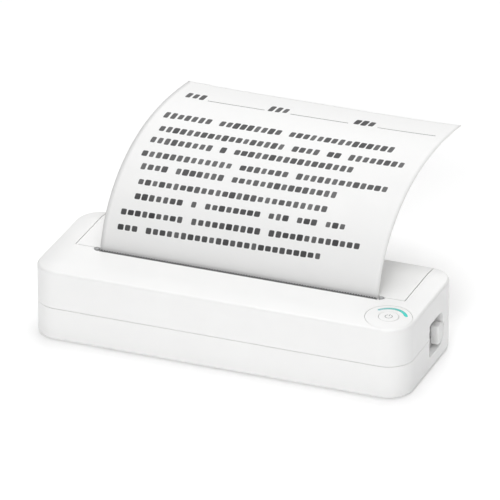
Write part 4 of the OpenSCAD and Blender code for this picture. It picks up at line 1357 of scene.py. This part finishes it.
@dataclass
class PaperSupply(Assembly):
    """The roll in its bay and the printed sheet that stands in the slot.

    Attributes:
        width: Width of the paper, in metres, as all sizes and places here.
        thick: Thickness of the sheet.
        out: Length of sheet beyond the slot.
        bend: Length over which the sheet bends back.
        lean: Its lean from the level far from the slot, in degrees.
        upright: What the lean has on top of that at the slot, in degrees.
        fall: Power by which that dies away.
        curl: Height of the curled corners.
        slot: (y, z) at which the sheet leaves the slot.
        platen: (y, z) of the platen's axis.
        wrap: Radius of the sheet's path round the platen.
        roll: (y, z) of the roll's axis.
        roll_radius: Radius of the full roll.
        roll_gap: Distance of the sheet's middle from the roll's side.
        core_radius: Radius of the hole that the core fills.
        sunk: How far the roll's end faces stand in from the paper's width.
        ripple: Size of the waves of its turns' edges.
        step: What the outer turn steps down where the paper ends.
        waves: Waves of those edges along the radius, in radians a metre.
        tangent_points: Points of the path between roll and platen.
        turn_points: Points of the path round the platen.
        rise_points: Points of the path up to the slot.
        free_points: Points of the path beyond the slot.
        cross_points: Points across the sheet.
        ring_count: Rings of points in one end face of the roll.
        ring_points: Points in each of them.
        text: Height, start, end and half height of each printed row, in millimetres.
        label_starts: Where the labels of the ruled fields start, in millimetres.
        label_width: Width of a label.
        label_height: Height of the labels in the print.
        label_half: Half their height.
        rule_spans: Start and end of each ruled line, in millimetres.
        rule_height: Height of the ruled lines in the print.
    """

    width: float = 0.210
    thick: float = 0.00016
    out: float = 0.194
    bend: float = 0.084
    lean: float = -16.9
    upright: float = 93.75
    fall: float = 1.07
    curl: float = 0.0011
    slot: tuple[float, float] = (-0.008205, 0.0560)
    platen: tuple[float, float] = (-0.002, 0.0445)
    wrap: float = 0.006205
    roll: tuple[float, float] = (0.0255, 0.0243)
    roll_radius: float = 0.019
    roll_gap: float = 0.000275
    core_radius: float = 0.0085
    sunk: float = 0.0002
    ripple: float = 0.00013
    step: float = 0.00018
    waves: tuple[float, float, float, float] = (2900.0, 710.0, 5300.0, 1700.0)
    tangent_points: int = 9
    turn_points: int = 13
    rise_points: int = 6
    free_points: int = 121
    cross_points: int = 61
    ring_count: int = 26
    ring_points: int = 96
    text: tuple[tuple[float, float, float, float], ...] = (
        (126.0, 8.0, 180.3, 4.5), (107.1, 12.0, 195.0, 4.0), (92.9, 10.8, 164.0, 3.6),
        (77.7, 10.2, 197.0, 3.2), (65.6, 13.7, 161.3, 2.95), (52.4, 11.0, 162.0, 2.7),
        (40.7, 12.2, 176.4, 2.55), (28.1, 10.4, 190.8, 2.42), (17.0, 10.4, 161.6, 2.36),
    )
    label_starts: tuple[float, ...] = (9.6, 73.2, 138.4)
    label_width: float = 0.014
    label_height: float = 0.1645
    label_half: float = 0.0056
    rule_spans: tuple[tuple[float, float], ...] = ((28.2, 71.8), (91.6, 135.4), (157.5, 201.2))
    rule_height: float = 0.1597

    def path(self) -> np.ndarray:
        """Works out the sheet's way in the (y, z) plane.

        It leaves the roll on the common tangent of roll and platen, goes round the
        platen, runs up to the slot and then leans from the level by
        lean + upright * exp(-(s / bend) ^ fall) degrees at distance s from the slot.

        Returns:
            Array of shape (points, 2), in metres, from the roll to the free end.
        """
        roll, platen, slot = np.array(self.roll), np.array(self.platen), np.array(self.slot)
        leave = self.roll_radius + self.roll_gap
        way = platen - roll
        angle = math.atan2(way[1], way[0]) + math.acos((leave - self.wrap) / np.hypot(*way))
        turns = np.linspace(angle, math.pi, self.turn_points)
        round_platen = platen + self.wrap * np.stack([np.cos(turns), np.sin(turns)], -1)
        start = roll + leave * np.array([math.cos(angle), math.sin(angle)])
        first = start + (round_platen[0] - start) * np.linspace(0, 1, self.tangent_points)[:-1, None]
        up = np.linspace(0, 1, self.rise_points)[1:-1, None]
        rise = round_platen[-1] + (slot - round_platen[-1]) * up
        s = np.linspace(0.0, self.out, self.free_points)
        halfway = (s[:-1] + s[1:]) / 2
        lean = np.radians(self.lean + self.upright * np.exp(-(halfway / self.bend) ** self.fall))
        steps = np.stack([np.cos(lean), np.sin(lean)], -1) * (s[1] - s[0])
        free = slot + np.concatenate([np.zeros((1, 2)), np.cumsum(steps, 0)])
        return np.concatenate([first, round_platen, rise, free])

    def sheet(self) -> bpy.types.Object:
        """Builds the printed sheet as a thin closed form.

        The path is swept along X. Towards its two sides the free end curls up, by
        curl * free ^ 1.5 * (2 |x| / width) ^ 4, where free is the share of its length.

        Returns:
            The sheet.
        """
        path = self.path()
        run = np.concatenate([[0.0], np.cumsum(np.hypot(*np.diff(path, axis=0).T))])
        at_slot = run[-1] - self.out
        way = np.gradient(path, axis=0)
        way /= np.linalg.norm(way, axis=1, keepdims=True)
        normal = np.stack([-way[:, 1], way[:, 0]], -1)
        x = np.linspace(-self.width / 2, self.width / 2, self.cross_points)
        free = np.clip((run - at_slot) / self.out, 0, 1)
        curl = self.curl * free[:, None] ** 1.5 * (2 * np.abs(x) / self.width)[None, :] ** 4
        sides = []
        for half in (self.thick / 2, -self.thick / 2):
            yz = path[:, None, :] + normal[:, None, :] * (half + curl)[..., None]
            sides.append(np.concatenate([np.broadcast_to(x[None, :, None], yz.shape[:2] + (1,)), yz], -1))
        front, back = sides
        flat = np.stack(np.broadcast_arrays(x[None, :] + self.width / 2, (run - at_slot)[:, None]), -1)
        rim = [np.stack([back[:, 0], front[:, 0]], 1), np.stack([front[:, -1], back[:, -1]], 1),
               np.stack([front[0], back[0]], 1), np.stack([back[-1], front[-1]], 1)]
        rim_flat = [np.stack([edge] * 2, 1) for edge in (flat[:, 0], flat[:, -1], flat[0], flat[-1])]
        surfaces = [Surface(front), Surface(back, flip=True, finish=1)]
        surfaces += [Surface(r, finish=2) for r in rim]
        piece = make_piece("thermal_sheet", surfaces, [flat, flat] + rim_flat)
        close_seams(piece)
        return piece

    def wound_roll(self) -> bpy.types.Object:
        """Builds the roll as a ring whose ends show turns that stand out unevenly.

        The end faces are rings of points. The ring at radius r stands in by the sunk
        share and in or out by a sum of waves of r, each as high as the ripple or less.
        The outer ring lies on a spiral that falls by the step in one turn.

        Returns:
            The roll.
        """
        r = np.linspace(self.core_radius, self.roll_radius, self.ring_count)
        a = np.linspace(0, 2 * np.pi, self.ring_points, endpoint=False)
        coarse, slow, fine, ends = self.waves
        waves = np.sin(r * coarse) * np.sin(r * slow + 1.0) + 0.8 * np.sin(r * fine + 0.4)
        uneven = self.ripple * waves - self.sunk
        outer = np.arange(len(r)) == len(r) - 1
        spiral = r[:, None] - self.step * (a / (2 * np.pi))[None, :] * outer[:, None]
        y, z = self.roll[0] + spiral * np.cos(a), self.roll[1] + spiral * np.sin(a)
        rings = []
        for side in (1.0, -1.0):
            x = side * (self.width / 2 + uneven * (0.6 + 0.4 * np.sin(r * ends + side)))
            rings.append(np.stack([np.broadcast_to(x[:, None], spiral.shape), y, z], -1))
        walls = [np.stack([rings[0][k], rings[1][k]]) for k in (-1, 0)]
        piece = make_piece("wound_roll", [Surface(points, ring=True) for points in rings + walls])
        close_seams(piece)
        return piece

    def printed(self) -> ThermalPaper:
        """Gives the sheet's front: printed rows, three labels and their ruled lines.

        Returns:
            The finish.
        """
        rows = [Row(*(size * MM for size in sizes)) for sizes in self.text]
        starts = [start * MM for start in self.label_starts]
        rows += [Row(self.label_height, start, start + self.label_width, self.label_half, blanks=-1.0)
                 for start in starts]
        rules = [Rule(self.rule_height, start * MM, end * MM) for start, end in self.rule_spans]
        # Paper colour with painted shade near the slot, then with painted light towards the free end.
        return ThermalPaper("paper_printed", (0.81, 0.81, 0.805), (0.93, 0.93, 0.925),
                            tuple(rows), tuple(rules))

    def build(self) -> None:
        """Builds and dresses the paper parts."""
        # The back face has a fainter painted shade near the slot and painted light towards the free end.
        plain = ThermalPaper("paper_plain", (0.85, 0.845, 0.83), (0.87, 0.865, 0.85))
        edge = ThermalPaper("paper_edge", (0.80, 0.76, 0.62), (0.80, 0.76, 0.62))
        sheet = self.keep(self.sheet(), Body.HOUSING, self.printed(), plain, edge)
        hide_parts("printed_sheet")
        wound = WoundPaper("paper_wound", (0.86, 0.855, 0.84), self.roll, self.width / 2)
        roll = self.keep(self.wound_roll(), Body.ROLL, wound)
        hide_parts("paper_roll")
        self.dress(Card("core_card", (0.36, 0.26, 0.16)), "roll_core")
        self.dress(Moulded("hub_grey", (0.06, 0.063, 0.067), roughness=0.46), "roll_hubs")


# ---------------------------------------------------------------- studio


@dataclass(frozen=True)
class Lamp:
    """One square soft light that faces the printer.

    Attributes:
        name: Name of the light.
        place: Its middle, in metres.
        size: Length of its sides, in metres.
        power: Its power, in watts.
        aim: The point that it faces, in metres.
    """

    name: str
    place: tuple[float, float, float]
    size: float
    power: float
    aim: tuple[float, float, float] = (0.0, 0.0, 0.03)

    def hang(self) -> None:
        """Hangs the light and turns it towards its aim."""
        light = bpy.data.lights.new(self.name, "AREA")
        light.energy, light.size = self.power, self.size
        hung = bpy.data.objects.new(self.name, light)
        hung.location = self.place
        hung.rotation_euler = (Vector(self.aim) - Vector(self.place)).to_track_quat("-Z", "Y").to_euler()
        bpy.context.scene.collection.objects.link(hung)


@dataclass
class Studio:
    """Floor, light and camera.

    Attributes:
        azimuth: Camera's turn from straight in front towards +X, in degrees.
        elevation: Camera's height above the level, in degrees.
        target: The point in the middle of the frame, in metres.
        across: Width of the frame at the target, in metres.
        lens: Focal length on the sensor, in millimetres.
        air: Strength of the even pale surround.
        lamps: The soft lights.
        floor_half: Half the floor's width, in metres.
        floor_front: Where the floor begins along Y, in metres.
        floor_rear: Where it starts to bend up.
        floor_bend: Radius of the bend.
        floor_top: Height to which it goes on upright.
        floor_glow: Strength of the floor's own faint light, which keeps it even.
    """

    azimuth: float = 21.5
    elevation: float = 26.0
    target: tuple[float, float, float] = (0.005469, 0.0, 0.07037)
    across: float = 0.3509
    lens: float = 450.0
    air: float = 0.10
    lamps: tuple[Lamp, ...] = (
        Lamp("soft_top", (0.0, 0.3, 2.4), size=2.2, power=49.0),
        Lamp("soft_key", (0.5, -2.45, 1.3), size=1.3, power=36.0),
        Lamp("soft_rear", (-0.6, 2.0, 1.6), size=1.4, power=7.0),
    )
    floor_half: float = 4.5
    floor_front: float = -6.0
    floor_rear: float = 5.0
    floor_bend: float = 1.2
    floor_top: float = 3.2
    floor_glow: float = 0.15

    def floor(self) -> None:
        """Lays the floor: level, then a quarter circle behind the printer, then upright."""
        a = np.linspace(0, np.pi / 2, BEND_POINTS)
        bend = [self.floor_rear, self.floor_bend] + self.floor_bend * np.stack([np.sin(a), -np.cos(a)], -1)
        top = [self.floor_rear + self.floor_bend, self.floor_top]
        profile = np.concatenate([[[self.floor_front, 0.0]], bend, [top]])
        x = np.array([-self.floor_half, self.floor_half])
        points = np.concatenate([np.broadcast_to(x[None, :, None], (len(profile), 2, 1)),
                                 np.broadcast_to(profile[:, None, :], (len(profile), 2, 2))], -1)
        floor = make_piece("studio_floor", [Surface(points, flip=True)])
        b = Bench("floor_white")
        pale = b.blend(b.noise(b.place(), scale=3.0), (0.90, 0.90, 0.90), (0.92, 0.92, 0.92))
        b.set(Base_Color=pale, Roughness=0.85, Emission_Color=(1.0, 1.0, 1.0),
              Emission_Strength=self.floor_glow)
        floor.data.materials.append(b.material)

    def light(self) -> None:
        """Sets an even pale surround and hangs the soft lights."""
        world = bpy.data.worlds.new("studio_air")
        world.use_nodes = True
        air = world.node_tree.nodes["Background"]
        air.inputs["Color"].default_value = (1.0, 1.0, 1.0, 1.0)
        air.inputs["Strength"].default_value = self.air
        bpy.context.scene.world = world
        for lamp in self.lamps:
            lamp.hang()
        settings = bpy.context.scene.view_settings
        settings.view_transform = "Standard"
        settings.look = "None"

    def camera(self) -> None:
        """Places the camera at the photograph's angle."""
        a, e = math.radians(self.azimuth), math.radians(self.elevation)
        back = Vector((math.sin(a) * math.cos(e), -math.cos(a) * math.cos(e), math.sin(e)))
        view = bpy.data.cameras.new("studio_camera")
        view.lens, view.sensor_width = self.lens, SENSOR
        away = self.across / 2 / (SENSOR / 2 / self.lens)
        view.clip_start, view.clip_end = 0.1, 100.0
        camera = bpy.data.objects.new("studio_camera", view)
        camera.location = Vector(self.target) + back * away
        camera.rotation_euler = (-back).to_track_quat("-Z", "Y").to_euler()
        bpy.context.scene.collection.objects.link(camera)
        bpy.context.scene.camera = camera

    def build(self) -> None:
        """Builds the studio."""
        self.floor()
        self.light()
        self.camera()


def main() -> None:
    """Builds the studio, then every sub-assembly in turn."""
    logging.basicConfig(level=logging.INFO, format="%(name)s %(message)s")
    Studio().build()
    for assembly in (Housing(), Panel(), Latch(), Mechanism(), Electronics(), PaperSupply()):
        assembly.build()
        assembly.report()


if __name__ == "__main__":
    main()
